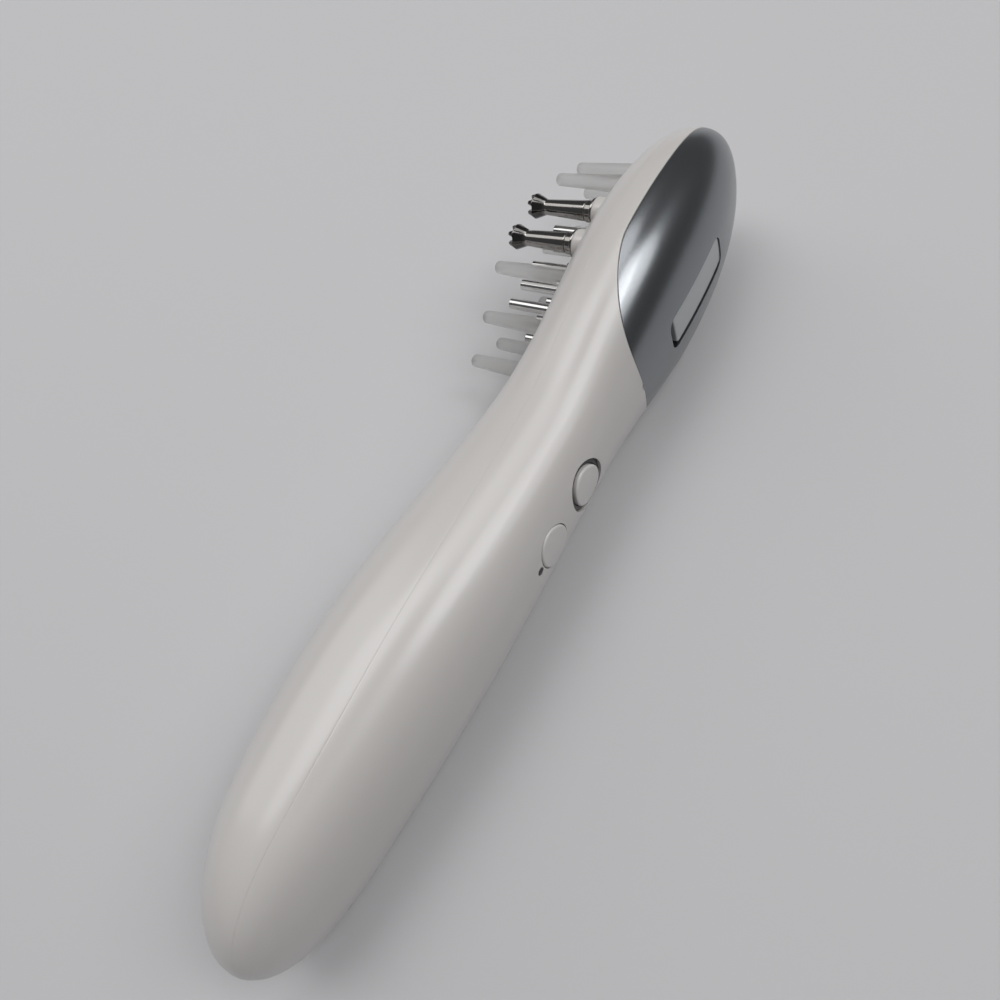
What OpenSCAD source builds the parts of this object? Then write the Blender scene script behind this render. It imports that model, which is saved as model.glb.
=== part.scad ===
// Laser hair comb: a curved handle and head of two white shells with a silver head cover,
// an oval ring of clear light teeth and crown-tipped contacts, and two rows of laser barrels.
// While it is described, the comb stands in its own axes: Y runs from the butt of the
// handle to the tip of the head, +X is the back with the buttons, -X is the side with the
// teeth, and Z runs across. lay_down() then puts it on its side, as it lies on a table.

/* [Body] */
// Length from the butt of the handle to the tip of the head
comb_len = 216.5; // [206.5:0.5:226.5]
// Thickness of the handle at its fullest, teeth side to back
handle_thick = 35; // [33:0.1:37]
// Thickness of the neck
neck_thick = 27.5; // [26.5:0.1:29]
// Thickness of the head
head_thick = 29.6; // [29:0.1:32]
// Width of the handle
handle_wide = 36.5; // [35:0.1:40]
// Width of the neck
neck_wide = 30.6; // [29.5:0.1:33]
// Width of the head
head_wide = 45; // [44:0.1:48]
// How far the handle's centre line lies towards the teeth from the head's
body_bend = 8.85; // [7:0.05:10.5]
// Squareness of the cross-section: 2 is an ellipse
section_power = 2.3; // [2.1:0.1:2.8]
// Wall of the shells and the cover
wall = 2.4; // [2:0.1:2.8]
// Gap at the joints between shells and cover
seam_gap = 0.12; // [0.1:0.01:0.3]

/* [Head cover] */
// Length of the head cover from its rounded end to the tip of the comb
cover_len = 76.5; // [71.5:0.5:81.5]
// Length of the rounded end, where the edge sweeps down to the sides
cover_sweep = 24; // [21:1:30]

/* [Buttons] */
// Radius of the power button
power_r = 4.7; // [4.4:0.1:4.9]
// Width of the dark ring round the power button
ring_wide = 1.3; // [1.1:0.1:1.5]
// Radius of the mode button
mode_r = 4.8; // [4.2:0.1:4.9]
// Distance between the two buttons
button_pitch = 15.5; // [15.2:0.1:17]
// How far a button travels
button_travel = 0.6; // [0.4:0.1:0.8]
// Running gap round a moving piece
run_gap = 0.1; // [0.08:0.01:0.2]

/* [Slide switch] */
// Length of the slot in the cover
slot_len = 29.5; // [28:0.5:30.5]
// Width of the slot in the cover
slot_wide = 9.2; // [8.4:0.1:9.6]
// Radius of the slot's corners
slot_corner = 2.8; // [2:0.1:3.4]
// How far the slider travels
slider_travel = 2.1; // [1.8:0.1:2.6]

/* [Comb teeth] */
// Reach of the tooth tips beyond the head's centre line
tooth_reach = 32.9; // [32:0.1:34]
// Radius of a clear tooth at its rounded tip
tooth_tip_r = 1.6; // [1.4:0.1:1.8]
// Radius of a clear tooth at its root
tooth_root_r = 2.2; // [2:0.1:2.3]
// Radius of a laser barrel
barrel_r = 1.4; // [1.2:0.05:1.5]
// Length by which the laser barrels are shorter than the teeth
barrel_short = 6.4; // [5:0.1:8]
// Distance between the two rows of laser barrels
row_gap = 13.2; // [12.8:0.1:13.3]
// Distance between laser barrels along a row
barrel_pitch = 6.3; // [6.2:0.05:6.35]

/* [Crown contacts] */
// Radius of the crown at its widest
crown_r = 3.1; // [2.9:0.1:3.6]
// Radius of the contact's neck behind the crown
crown_neck_r = 1.9; // [1.7:0.1:2.2]
// Radius of the white bush round the contact's foot
bush_r = 3.6; // [3.4:0.1:3.7]
// Width of the notches in the crown's rim
notch_wide = 1.5; // [1.2:0.1:1.6]
// Depth of the notches in the crown's rim
notch_deep = 1.8; // [1.4:0.1:2.2]

/* [Power] */
// Radius of the battery
battery_r = 7; // [6.5:0.1:7.2]
// Length of the battery
battery_len = 50; // [48:0.5:51]
// Radius of the charging plug's hole
jack_bore_r = 1.25; // [1:0.05:1.75]
// Depth of the charging plug's hole
jack_bore_len = 10; // [8:0.5:11]

/* [Boards and motor] */
// Thickness of the circuit boards
board_thick = 1.2; // [1:0.1:1.4]
// Radius of the vibration motor
motor_r = 3.5; // [3:0.1:3.5]
// Length of the vibration motor
motor_len = 14; // [12:0.5:15]

/* [Resting pose] */
// Roll towards the teeth, until their tips reach the table
lean = 16.5; // [14:0.1:20]
// Tilt along the comb, which lets the narrower handle down to the table
droop = 0.54; // [0:0.02:2]

/* [Hidden] */

$fn = 48;
tiny = 0.01;
far = 60;
body_rings = 38;
body_sides = 40;
hollow_rings = 22;
hollow_sides = 28;
grip_gap = 0.02;
hole_over = 0.8;

// Places along the comb: the handle is laid out from the butt, and the head from its tip.
full_y = 66;
wide_y = 55;
neck_from_tip = 79.6;
neck_y = comb_len - neck_from_tip;
slim_from_tip = 97.7;
slim_y = comb_len - slim_from_tip;
head_from_tip = 45;
head_y = comb_len - head_from_tip;
head_wide_from_tip = 48.5;
head_wide_y = comb_len - head_wide_from_tip;
bend_start_y = 34.3;
bend_from_tip = 51.6;
bend_end_y = comb_len - bend_from_tip;
butt_run = 26.8;
end_power = 2.15;
head_mid_x = 0.85;
butt_rise = 3.3;

// The shells part on a flat plane; the cover's edge runs just behind it along the head.
seam_x = -2;
cover_edge_x = 3.2;
cover_top_x = 14;
cover_power = 1.45;
cover_fall = 2.2;
fall_from_tip = 36.5;
cover_fall_y = comb_len - fall_from_tip;
tab_gap = 0.25;
tab_foot = 1.5;
tab_half_len = 4;
tab_thick = 1.3;
tab_lap = 2.6;
cover_start_y = comb_len - cover_len;

// The face of the head and the ring of teeth on it, as places along and across.
face_from_tip = 47.5;
face_y = comb_len - face_from_tip;
tip_x = head_mid_x - tooth_reach;
barrel_tip_x = tip_x + barrel_short;
ring_spots = [[-32, 0], [-22, 5.2], [-11, 11.2], [-1.2, 12], [9.7, 12], [23, 9], [33, 4.1]];
crown_first = 3;
crown_last = 4;
function on_face(s, side) = [face_y + s[0], side * s[1]];
crown_spots = [for (i = [crown_first:crown_last]) on_face(ring_spots[i], 1)];
near_teeth = [for (i = [0:6]) if (i < crown_first || i > crown_last) on_face(ring_spots[i], 1)];
far_teeth = [for (i = [1:6]) on_face(ring_spots[i], -1)];
tooth_spots = concat(near_teeth, far_teeth);
barrel_first_y = face_y + 1.2 - 3 * barrel_pitch;
barrel_spots = [for (side = [1, -1]) for (i = [0:4])
    [barrel_first_y + i * barrel_pitch, side * row_gap / 2]];

// Levels of the laser board and of what stands on it, along X.
laser_board_x = -4.6;
diode_high = 2;
led_high = 1;
lamp_half = 1;
lamp_gap = 0.2;
indicator_half = 0.7;
seat_x = -7.2;
fit = 0.1;
tooth_flange_r = tooth_root_r + 0.3;
tooth_root_x = -14;
tooth_round = 0.7;
barrel_flange_r = barrel_r + 0.3;
socket_wall = 1.2;
barrel_bore_r = 0.75;
barrel_bore_deep = 1.2;
barrel_foot_len = 0.8;

// Crown contacts.
crown_pin_r = 1.4;
bush_proud = 1.3;
bush_edge = 0.4;
bush_seat = 0.15;
cup_deep = 2.4;
rim_in = 1.3;
rim_flat = 0.5;
rim_drop = 1.4;
neck_deep = 4.6;
collar_grow = 0.8;
cone_grow = 0.6;
groove = 0.3;

// Buttons and the main board.
power_from_tip = 104;
power_y = comb_len - power_from_tip;
mode_y = power_y - button_pitch;
mode_gap = 0.22;
cap_sink = 0.05;
skin_reach = 14;
ring_sink = 0.12;
led_gap = 0.5;
pipe_r = 0.75;
pipe_recess = 0.4;
led_y = mode_y - mode_r - mode_gap - led_gap - pipe_r;
main_x = 0;
main_half = 8;
switch_high = 3.5;
switch_half = 3;
stem_r = 1.7;
stem_top = main_x + board_thick + switch_high + 0.8;
flange_thick = 0.8;
power_flange_x = 6.4;
mode_flange_x = 6.9;
flange_lip = 0.3;
ring_lip = 1;
collar_wall = 1.2;
mode_collar = 1;
switch_floor = 1;
stem_gap = 0.2;
post_r = 2.2;

// Slide switch under the cover.
slot_from_tip = 62.5;
slot_y0 = comb_len - slot_from_tip;
slider_len = slot_len - slider_travel - 2 * run_gap;
slider_y0 = slot_y0 + slot_len - slider_len - run_gap;
slider_half = slot_wide / 2 - 3 * run_gap;
slider_sink = 0.3;
guide_x = 10.9;
guide_thick = 0.8;
guide_half = slot_wide / 2 + 1.6;
guide_over = 4;
switch_board_x = 5.4;
switch_board_half = 7;
post_before = 7;
post_after = 8;
switch_post_ys = [slot_y0 - post_before, slot_y0 + slot_len + post_after];
can_len = 14;
can_half = 3;
can_high = 3.8;
can_floor = 1;
lever_half = 1.5;
lever_half_wide = 1.2;
lever_foot = 1.2;
switch_board_over = 3;

// Battery, cradle and charging jack.
battery_x = -8.5;
battery_y0 = 38.3;
cradle_wall = 1.5;
end_wall = 1.2;
contact_thick = 0.3;
contact_share = 0.55;
pole_len = 1;
pole_share = 0.35;
rib_thick = 1.4;
jack_y = 30;
jack_half_len = 5;
jack_half_wide = 4.5;
jack_inner_x = -10.5;
jack_outer_x = -18.3;
jack_mouth_x = -22.6;
jack_nose_r = 3.2;

// Laser board and the motor on it.
laser_board_half = 14;
laser_board_half_len = 35;
motor_x = 0.5;
motor_from_face = 3;
motor_y0 = face_y + motor_from_face;
motor_end = 2;
cradle_side = 1.5;
cradle_over = 0.5;
weight_gap = 0.5;
shaft_gap = 0.5;
weight_r = 3.1;
weight_len = 4.5;
shaft_r = 0.5;

// Screws.
shell_screw_y = 14;
screw_from_tip = 89.5;
shell_screw_ys = [shell_screw_y, comb_len - screw_from_tip];
shell_boss_r = 3.5;
screw_seat_x = -9;
screw_reach = 4.2;
screw_r = 0.98;
screw_head_r = 2.3;
screw_head_len = 1.6;
small_screw_r = 0.8;
small_head_r = 1.6;
small_head_len = 1.1;
small_screw_len = 4;
laser_post_ys = [face_y - 25.6, face_y - 3.1, face_y + 27.4];

// The main board runs from under the indicator to past the shells' second boss, with a
// post at each corner.
led_margin = 6.5;
boss_margin = 3.5;
main_y0 = led_y - led_margin;
main_y1 = shell_screw_ys[1] + shell_boss_r + boss_margin;
post_in = 2.1;
post_spots = [for (y = [main_y0 + post_in, main_y1 - post_in]) for (side = [1, -1])
    [y, side * (main_half - post_in)]];
ribbon_lap = 0.7;

// Where the laid comb's box is moved, so that its foot is centred on the origin.
rest_shift = [9.023, -comb_len / 2, 20.355];

// Smooth step from 0 to 1, and a value that changes smoothly from a to b between two places.
function ease(t) = let (u = min(max(t, 0), 1)) u * u * (3 - 2 * u);
function turn(y, y0, y1, a, b) = a + (b - a) * ease((y - y0) / (y1 - y0));

// Rounding of the two ends, as a share of the full size: each is part of a superellipse.
function end_round(y, low, high) =
    y < low ? pow(1 - pow((low - y) / low, end_power), 1 / end_power)
    : y > high ? pow(max(0, 1 - pow((y - high) / (comb_len - high), end_power)), 1 / end_power)
    : 1;

// Centre line, half thickness and half width of the body at a place along it.
function mid_x(y) = turn(y, bend_start_y, bend_end_y, head_mid_x - body_bend, head_mid_x)
    + butt_rise * pow(max(0, 1 - y / bend_start_y), 2);
function full_thick(y) = y < neck_y
    ? turn(y, full_y, neck_y, handle_thick, neck_thick)
    : turn(y, neck_y, head_y, neck_thick, head_thick);
function full_wide(y) = y < slim_y
    ? turn(y, wide_y, slim_y, handle_wide, neck_wide)
    : turn(y, slim_y, head_wide_y, neck_wide, head_wide);
function half_thick(y, inset = 0) = (full_thick(y) / 2 - inset) * end_round(y, full_y, head_y);
function half_wide(y, inset = 0) = (full_wide(y) / 2 - inset) * end_round(y, butt_run, head_wide_y);
function back_x(y) = mid_x(y) + half_thick(y);
function face_x(y, z) = mid_x(y)
    - half_thick(y) * pow(1 - pow(abs(z) / half_wide(y), section_power), 1 / section_power);

// One point of the cross-section, at an angle measured from the back.
function squared(v) = sign(v) * pow(abs(v), 2 / section_power);
function along(y, inset) = inset + y * (comb_len - 2 * inset) / comb_len;
function section_point(y, a, inset) = [
    mid_x(y) + half_thick(y, inset) * squared(cos(a)),
    along(y, inset),
    half_wide(y, inset) * squared(sin(a))
];

// The body as one closed loft, drawn in from the outer surface by inset. Between low and high
// it is the same skin with flat ends, for a piece that follows the skin at one place.
module body_form(inset = 0, low = 0, high = comb_len, rings = body_rings, sides = body_sides) {
    ring_y = [for (i = [1:rings - 1]) let (y = comb_len / 2 * (1 - cos(180 * i / rings)))
        if (y > low && y < high) y];
    last_ring = len(ring_y) - 1;
    ends = [low > 0 ? ring_y[0] : 0, high < comb_len ? ring_y[last_ring] : comb_len];
    points = concat(
        [[mid_x(ends[0]), along(ends[0], inset), 0]],
        [for (y = ring_y) for (k = [0:sides - 1]) section_point(y, 360 * k / sides, inset)],
        [[mid_x(ends[1]), along(ends[1], inset), 0]]
    );
    last = len(points) - 1;
    butt_fan = [for (k = [0:sides - 1]) [0, 1 + (k + 1) % sides, 1 + k]];
    tip_row = 1 + last_ring * sides;
    tip_fan = [for (k = [0:sides - 1]) [last, tip_row + k, tip_row + (k + 1) % sides]];
    skin = [for (i = [0:last_ring - 1]) for (k = [0:sides - 1])
        let (a = 1 + i * sides + k, b = 1 + i * sides + (k + 1) % sides)
        each [[a, b, a + sides], [b, b + sides, a + sides]]];
    polyhedron(points, concat(butt_fan, tip_fan, skin));
}

// A round bar along X from x0 to x1, at a place [along, across].
module bar_x(x0, x1, r, spot, r2 = 0) {
    translate([x0, spot[0], spot[1]])
        rotate([0, 90, 0])
            cylinder(h = x1 - x0, r1 = r, r2 = r2 > 0 ? r2 : r);
}

// A round bar along Y from y0 to y1, at [x, z].
module bar_y(y0, y1, r, spot) {
    translate([spot[0], y0, spot[1]])
        rotate([-90, 0, 0])
            cylinder(h = y1 - y0, r = r);
}

// A profile of [radius, x] points turned round an axis along X.
module turned_x(profile, spot) {
    translate([0, spot[0], spot[1]])
        rotate([0, 90, 0])
            rotate_extrude()
                polygon(profile);
}

// A box given by its low and high corners.
module block(low, high) {
    translate(low)
        cube(high - low);
}

// A bar along X from x0 to x1 over a rectangle with round corners, from y0 to y1 along.
module rounded_bar(x0, x1, y0, y1, half, r) {
    block([x0, y0 + r, -half], [x1, y1 - r, half]);
    block([x0, y0, r - half], [x1, y1, half - r]);
    for (y = [y0 + r, y1 - r])
        for (z = [r - half, half - r])
            bar_x(x0, x1, r, [y, z]);
}

// The comb's own axes to the table: roll towards the teeth, tilt along the comb, set down.
module lay_down() {
    translate(rest_shift)
        rotate([droop, 0, 0])
            rotate([0, -lean, 0])
                children();
}

// The part of space in front of the seam, or behind it.
module front_side() {
    block([-far, -far, -far], [seam_x - seam_gap / 2, comb_len + far, far]);
}

module back_side() {
    block([seam_x + seam_gap / 2, -far, -far], [far, comb_len + far, far]);
}

// The part of space that the head cover takes: a side profile swept across the comb.
// Its edge starts square to the back, sweeps down to run along the side of the head, and
// falls a little more towards the tip.
module cover_side(gap = 0) {
    steps = 14;
    sweep_y = cover_start_y + cover_sweep;
    depth = cover_top_x - cover_edge_x + gap;
    curve = [for (i = [0:steps]) let (u = sin(90 * i / steps))
        [cover_top_x - depth * pow(max(0, 1 - pow(u, cover_power)), 1 / cover_power),
         sweep_y - (cover_sweep + gap) * u]];
    low_x = cover_edge_x - gap;
    fall = [for (i = [0:6]) let (u = 1 - i / 6)
        [low_x - cover_fall * u * u, cover_fall_y + (comb_len - cover_fall_y) * u]];
    outline = concat([[far, comb_len + far], [low_x - cover_fall, comb_len + far]],
        fall, curve, [[far, cover_start_y - gap]]);
    translate([0, 0, -far])
        linear_extrude(2 * far)
            polygon(outline);
}

// The hollow of the shells; children are what stands in it and stays solid.
module hollow() {
    difference() {
        body_form(wall, rings = hollow_rings, sides = hollow_sides);
        children();
    }
}

// Front shell: the teeth side, with sockets for the teeth, ribs, posts and screw bosses.
module front_shell() {
    color("whitesmoke")
        lay_down()
            difference() {
                intersection() {
                    body_form();
                    front_side();
                }
                hollow() {
                    front_sockets();
                    front_ribs();
                }
                front_holes();
            }
}

module front_sockets() {
    for (s = tooth_spots)
        bar_x(-far, seat_x, tooth_root_r + fit + socket_wall, s);
    for (s = crown_spots)
        bar_x(-far, seat_x, bush_r + fit + socket_wall, s);
    for (s = barrel_spots)
        bar_x(-far, seat_x, barrel_r + fit + socket_wall, s);
    for (y = laser_post_ys)
        bar_x(-far, laser_board_x, post_r, [y, 0]);
    for (y = shell_screw_ys)
        bar_x(-far, far, shell_boss_r, [y, 0]);
}

module front_ribs() {
    cradle_y0 = battery_y0 - contact_thick - end_wall - fit;
    for (side = [-1, 1])
        difference() {
            y = jack_y + side * (jack_half_len + fit + rib_thick / 2);
            block([-far, y - rib_thick / 2, -far], [jack_inner_x, y + rib_thick / 2, far]);
            bar_y(cradle_y0, comb_len, battery_r + cradle_wall + fit, [battery_x, 0]);
        }
    for (share = [0.25, 0.55, 0.85])
        difference() {
            y = battery_y0 + share * battery_len;
            block([-far, y - rib_thick / 2, -far], [battery_x, y + rib_thick / 2, far]);
            bar_y(0, comb_len, battery_r + cradle_wall + fit, [battery_x, 0]);
        }
}

module front_holes() {
    for (s = tooth_spots) {
        bar_x(-far, 0, tooth_root_r + fit, s);
        bar_x(seat_x, laser_board_x, tooth_flange_r + fit, s);
    }
    for (s = crown_spots) {
        bar_x(-far, 0, tooth_root_r + fit, s);
        bar_x(-far, bush_floor_x(s), bush_r + fit, s);
    }
    for (s = barrel_spots)
        bar_x(-far, 0, barrel_r + fit, s);
    for (y = laser_post_ys)
        bar_x(laser_board_x - small_screw_len, 0, small_screw_r + grip_gap, [y, 0]);
    for (y = shell_screw_ys) {
        bar_x(-far, screw_seat_x, screw_head_r + 2 * fit, [y, 0]);
        bar_x(-far, 0, screw_r + 2 * fit, [y, 0]);
    }
    bar_x(-far, jack_outer_x, jack_nose_r + fit, [jack_y, 0]);
}

// Back shell: carries the buttons and the main board, and is open under the head cover.
module back_shell() {
    color("whitesmoke")
        lay_down()
            difference() {
                intersection() {
                    body_form();
                    back_side();
                }
                hollow() {
                    back_posts();
                }
                cover_side(seam_gap);
                back_holes();
            }
}

module back_posts() {
    for (s = post_spots)
        bar_x(main_x + board_thick, far, post_r, s);
    for (y = shell_screw_ys)
        bar_x(-far, far, shell_boss_r, [y, 0]);
    bar_x(power_flange_x + 2 * (flange_thick + fit), far, power_r + ring_wide + collar_wall, [power_y, 0]);
    bar_x(mode_flange_x + flange_thick + fit, far, mode_r + mode_collar, [mode_y, 0]);
}

module back_holes() {
    bar_x(-far, far, power_r + ring_wide + fit, [power_y, 0]);
    bar_x(-far, far, mode_r + mode_gap, [mode_y, 0]);
    bar_x(-far, far, pipe_r + fit / 2, [led_y, 0]);
    for (s = post_spots)
        bar_x(-far, main_x - small_head_len + small_screw_len + hole_over, small_screw_r + grip_gap, s);
    for (y = shell_screw_ys)
        bar_x(-far, seam_x + screw_reach + hole_over, screw_r + grip_gap, [y, 0]);
}

// Silver head cover, with the slider's slot, posts for the switch board and two snap tabs.
module head_cover() {
    tab_z = half_wide(head_wide_y, wall) - tab_gap;
    color("silver")
        lay_down()
            difference() {
                union() {
                    difference() {
                        intersection() {
                            body_form();
                            cover_side();
                        }
                        hollow() {
                            for (y = switch_post_ys)
                                bar_x(switch_board_x + board_thick, far, post_r, [y, 0]);
                        }
                    }
                    for (side = [-1, 1])
                        block([seam_x + tab_foot, head_wide_y - tab_half_len,
                                side * tab_z - (side > 0 ? tab_thick : 0)],
                            [cover_edge_x + tab_lap, head_wide_y + tab_half_len,
                                side * tab_z + (side > 0 ? 0 : tab_thick)]);
                }
                rounded_bar(guide_x, far, slot_y0, slot_y0 + slot_len, slot_wide / 2, slot_corner);
                for (y = switch_post_ys)
                    bar_x(0, switch_board_x - small_head_len + small_screw_len + hole_over,
                        small_screw_r + grip_gap, [y, 0]);
            }
}

// A push button: a cap flush with the skin, a flange that keeps it in its hole, and a boss
// for its stem.
module push_button(y, r, flange_x, flange_r) {
    intersection() {
        body_form(cap_sink, y - r - skin_reach, y + r + skin_reach);
        bar_x(flange_x + flange_thick - tiny, far, r, [y, 0]);
    }
    bar_x(flange_x, flange_x + flange_thick, flange_r, [y, 0]);
    bar_x(stem_top, flange_x + tiny, stem_r, [y, 0]);
}

module power_button() {
    color("white")
        lay_down()
            push_button(power_y, power_r, power_flange_x, power_r + ring_wide);
}

module mode_button() {
    color("white")
        lay_down()
            push_button(mode_y, mode_r, mode_flange_x, mode_r + mode_gap + flange_lip);
}

// Dark ring round the power button: a bush with a foot that seats under the shell's collar.
module button_ring() {
    foot_x = power_flange_x + flange_thick + fit;
    color("dimgray")
        lay_down()
            difference() {
                union() {
                    intersection() {
                        body_form(ring_sink, power_y - power_r - skin_reach,
                            power_y + power_r + skin_reach);
                        bar_x(foot_x, far, power_r + ring_wide, [power_y, 0]);
                    }
                    bar_x(foot_x, foot_x + flange_thick, power_r + ring_wide + ring_lip, [power_y, 0]);
                }
                bar_x(0, far, power_r + run_gap, [power_y, 0]);
            }
}

// Tact switch on the main board, with a bore for its stem, and the stem that rides with
// the button.
module tact_switch(y) {
    top = main_x + board_thick + switch_high;
    color("dimgray")
        lay_down()
            difference() {
                block([main_x + board_thick, y - switch_half, -switch_half],
                    [top, y + switch_half, switch_half]);
                bar_x(main_x + board_thick + switch_floor, far, stem_r + fit / 2, [y, 0]);
            }
}

module tact_stem(y) {
    color("black")
        lay_down()
            bar_x(main_x + board_thick + switch_floor + button_travel + stem_gap, stem_top, stem_r, [y, 0]);
}

module power_switch() {
    tact_switch(power_y);
}

module mode_switch() {
    tact_switch(mode_y);
}

module power_stem() {
    tact_stem(power_y);
}

module mode_stem() {
    tact_stem(mode_y);
}

// Dark light pipe in its pinhole, over the indicator on the main board.
module light_pipe() {
    color("black")
        lay_down()
            bar_x(main_x + board_thick + led_high + lamp_gap, back_x(led_y) - pipe_recess, pipe_r,
                [led_y, 0]);
}

module indicator_led() {
    color("crimson")
        lay_down()
            block([main_x + board_thick, led_y - indicator_half, -indicator_half],
                [main_x + board_thick + led_high, led_y + indicator_half, indicator_half]);
}

// Main board under the buttons, screwed to the back shell's posts.
module main_board() {
    color("green")
        lay_down()
            difference() {
                block([main_x, main_y0, -main_half], [main_x + board_thick, main_y1, main_half]);
                bar_x(-far, far, shell_boss_r + 2 * fit, [shell_screw_ys[1], 0]);
                for (s = post_spots)
                    bar_x(-far, far, small_screw_r + fit, s);
            }
}

// Slider: a white bar that fills the slot but for its travel, with a guide plate under it.
module slider() {
    color("white")
        lay_down() {
            intersection() {
                body_form(slider_sink, slot_y0 - skin_reach, slot_y0 + slot_len + skin_reach);
                rounded_bar(guide_x + guide_thick - tiny, far, slider_y0, slider_y0 + slider_len,
                    slider_half, slot_corner - 3 * run_gap);
            }
            block([guide_x, slot_y0, -guide_half],
                [guide_x + guide_thick, slider_y0 + slider_len + guide_over, guide_half]);
        }
}

// Lever of the slide switch, which moves with the slider.
module slide_lever() {
    y = slider_y0 + slider_len / 2;
    color("black")
        lay_down()
            block([switch_board_x + board_thick + lever_foot, y - lever_half, -lever_half_wide],
                [guide_x, y + lever_half, lever_half_wide]);
}

// Body of the slide switch, with a slot for its lever.
module slide_switch() {
    y = slider_y0 + slider_len / 2 - slider_travel / 2;
    low = switch_board_x + board_thick;
    half_slot = lever_half + slider_travel / 2 + 2 * run_gap;
    color("darkgray")
        lay_down()
            difference() {
                block([low, y - can_len / 2, -can_half], [low + can_high, y + can_len / 2, can_half]);
                block([low + can_floor, y - half_slot, -lever_half_wide - run_gap],
                    [far, y + half_slot, lever_half_wide + run_gap]);
            }
}

module switch_board() {
    color("green")
        lay_down()
            difference() {
                block([switch_board_x, switch_post_ys[0] - switch_board_over, -switch_board_half],
                    [switch_board_x + board_thick, switch_post_ys[1] + switch_board_over,
                        switch_board_half]);
                for (y = switch_post_ys)
                    bar_x(-far, far, small_screw_r + fit, [y, 0]);
            }
}

// A small screw along X, its head against a board from the teeth side or from the back.
module small_screw(face_x, side, spot) {
    head = side * small_head_len;
    shank = -side * (small_screw_len - small_head_len);
    bar_x(min(face_x, face_x + head), max(face_x, face_x + head), small_head_r, spot);
    bar_x(min(face_x, face_x + shank), max(face_x, face_x + shank), small_screw_r, spot);
}

module switch_screws() {
    color("silver")
        lay_down()
            for (y = switch_post_ys)
                small_screw(switch_board_x, -1, [y, 0]);
}

module board_screws() {
    color("silver")
        lay_down() {
            for (s = post_spots)
                small_screw(main_x, -1, s);
            for (y = laser_post_ys)
                small_screw(laser_board_x + board_thick, 1, [y, 0]);
        }
}

module shell_screws() {
    color("silver")
        lay_down()
            for (y = shell_screw_ys) {
                bar_x(screw_seat_x - screw_head_len, screw_seat_x, screw_head_r, [y, 0]);
                bar_x(screw_seat_x, seam_x + screw_reach, screw_r, [y, 0]);
            }
}

// Battery, with the small raised cap of its positive end.
module battery() {
    color("royalblue")
        lay_down() {
            bar_y(battery_y0, battery_y0 + battery_len - pole_len, battery_r, [battery_x, 0]);
            bar_y(battery_y0 + battery_len - pole_len, battery_y0 + battery_len,
                battery_r * pole_share, [battery_x, 0]);
        }
}

module battery_contacts() {
    half = battery_r * contact_share;
    color("goldenrod")
        lay_down()
            for (y = [battery_y0 - contact_thick - fit / 2, battery_y0 + battery_len + fit / 2])
                block([battery_x - half, y, -half], [battery_x + half, y + contact_thick, half]);
}

// Cradle: half a tube under the battery with a wall at each end, on the shell's ribs.
module battery_cradle() {
    y0 = battery_y0 - contact_thick - end_wall - fit;
    y1 = battery_y0 + battery_len + contact_thick + end_wall + fit;
    color("dimgray")
        lay_down()
            difference() {
                bar_y(y0, y1, battery_r + cradle_wall, [battery_x, 0]);
                bar_y(y0 + end_wall, y1 - end_wall, battery_r + fit, [battery_x, 0]);
                block([battery_x, 0, -far], [far, comb_len, far]);
            }
}

// Charging jack: a block held between two ribs, with a nose that reaches the shell's skin.
module charging_jack() {
    color("black")
        lay_down()
            difference() {
                union() {
                    block([jack_outer_x, jack_y - jack_half_len, -jack_half_wide],
                        [jack_inner_x, jack_y + jack_half_len, jack_half_wide]);
                    bar_x(jack_mouth_x, jack_outer_x + tiny, jack_nose_r, [jack_y, 0]);
                }
                bar_x(-far, jack_mouth_x + jack_bore_len, jack_bore_r, [jack_y, 0]);
            }
}

// Laser board: a plate with round ends across the head, over the feet of the teeth.
module laser_board() {
    half = laser_board_half;
    low_y = face_y - laser_board_half_len + half;
    high_y = face_y + laser_board_half_len - half;
    color("green")
        lay_down()
            difference() {
                union() {
                    block([laser_board_x, low_y, -half], [laser_board_x + board_thick, high_y, half]);
                    bar_x(laser_board_x, laser_board_x + board_thick, half, [low_y, 0]);
                    bar_x(laser_board_x, laser_board_x + board_thick, half, [high_y, 0]);
                }
                for (y = laser_post_ys)
                    bar_x(-far, far, small_screw_r + fit, [y, 0]);
            }
}

module laser_diodes() {
    color("gold")
        lay_down()
            for (s = barrel_spots)
                bar_x(laser_board_x - diode_high, laser_board_x, barrel_r, s);
}

module tooth_leds() {
    color("crimson")
        lay_down()
            for (s = tooth_spots)
                block([laser_board_x - led_high, s[0] - lamp_half, s[1] - lamp_half],
                    [laser_board_x, s[0] + lamp_half, s[1] + lamp_half]);
}

// Ribbon from the laser board up to the main board, as two bends of flat strip.
module board_ribbon() {
    thick = 0.3;
    low = laser_board_x + board_thick;
    bend = (main_x - low - thick) / 2;
    start_y = laser_post_ys[0] - 3;
    turn_y = start_y - 2.5;
    steps = 6;
    down = [for (i = [0:steps]) let (a = 90 * i / steps)
        [low + bend - bend * cos(a), turn_y - bend * sin(a)]];
    up = [for (i = [0:steps]) let (a = 90 * i / steps)
        [low + bend + bend * sin(a), turn_y - 2 * bend + bend * cos(a)]];
    middle = concat([[low, start_y]], down, up, [[low + 2 * bend, main_y1 - ribbon_lap]]);
    color("sienna")
        lay_down()
            translate([0, 0, -4])
                linear_extrude(8)
                    polygon(concat(middle, [for (i = [len(middle) - 1:-1:0]) middle[i] + [thick, 0]]));
}

// Vibration motor with its cradle on the laser board.
module vibration_motor() {
    color("silver")
        lay_down()
            difference() {
                bar_y(motor_y0, motor_y0 + motor_len, motor_r, [motor_x, 0]);
                bar_y(motor_y0 + motor_end, comb_len, shaft_r + fit / 2, [motor_x, 0]);
            }
}

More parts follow.
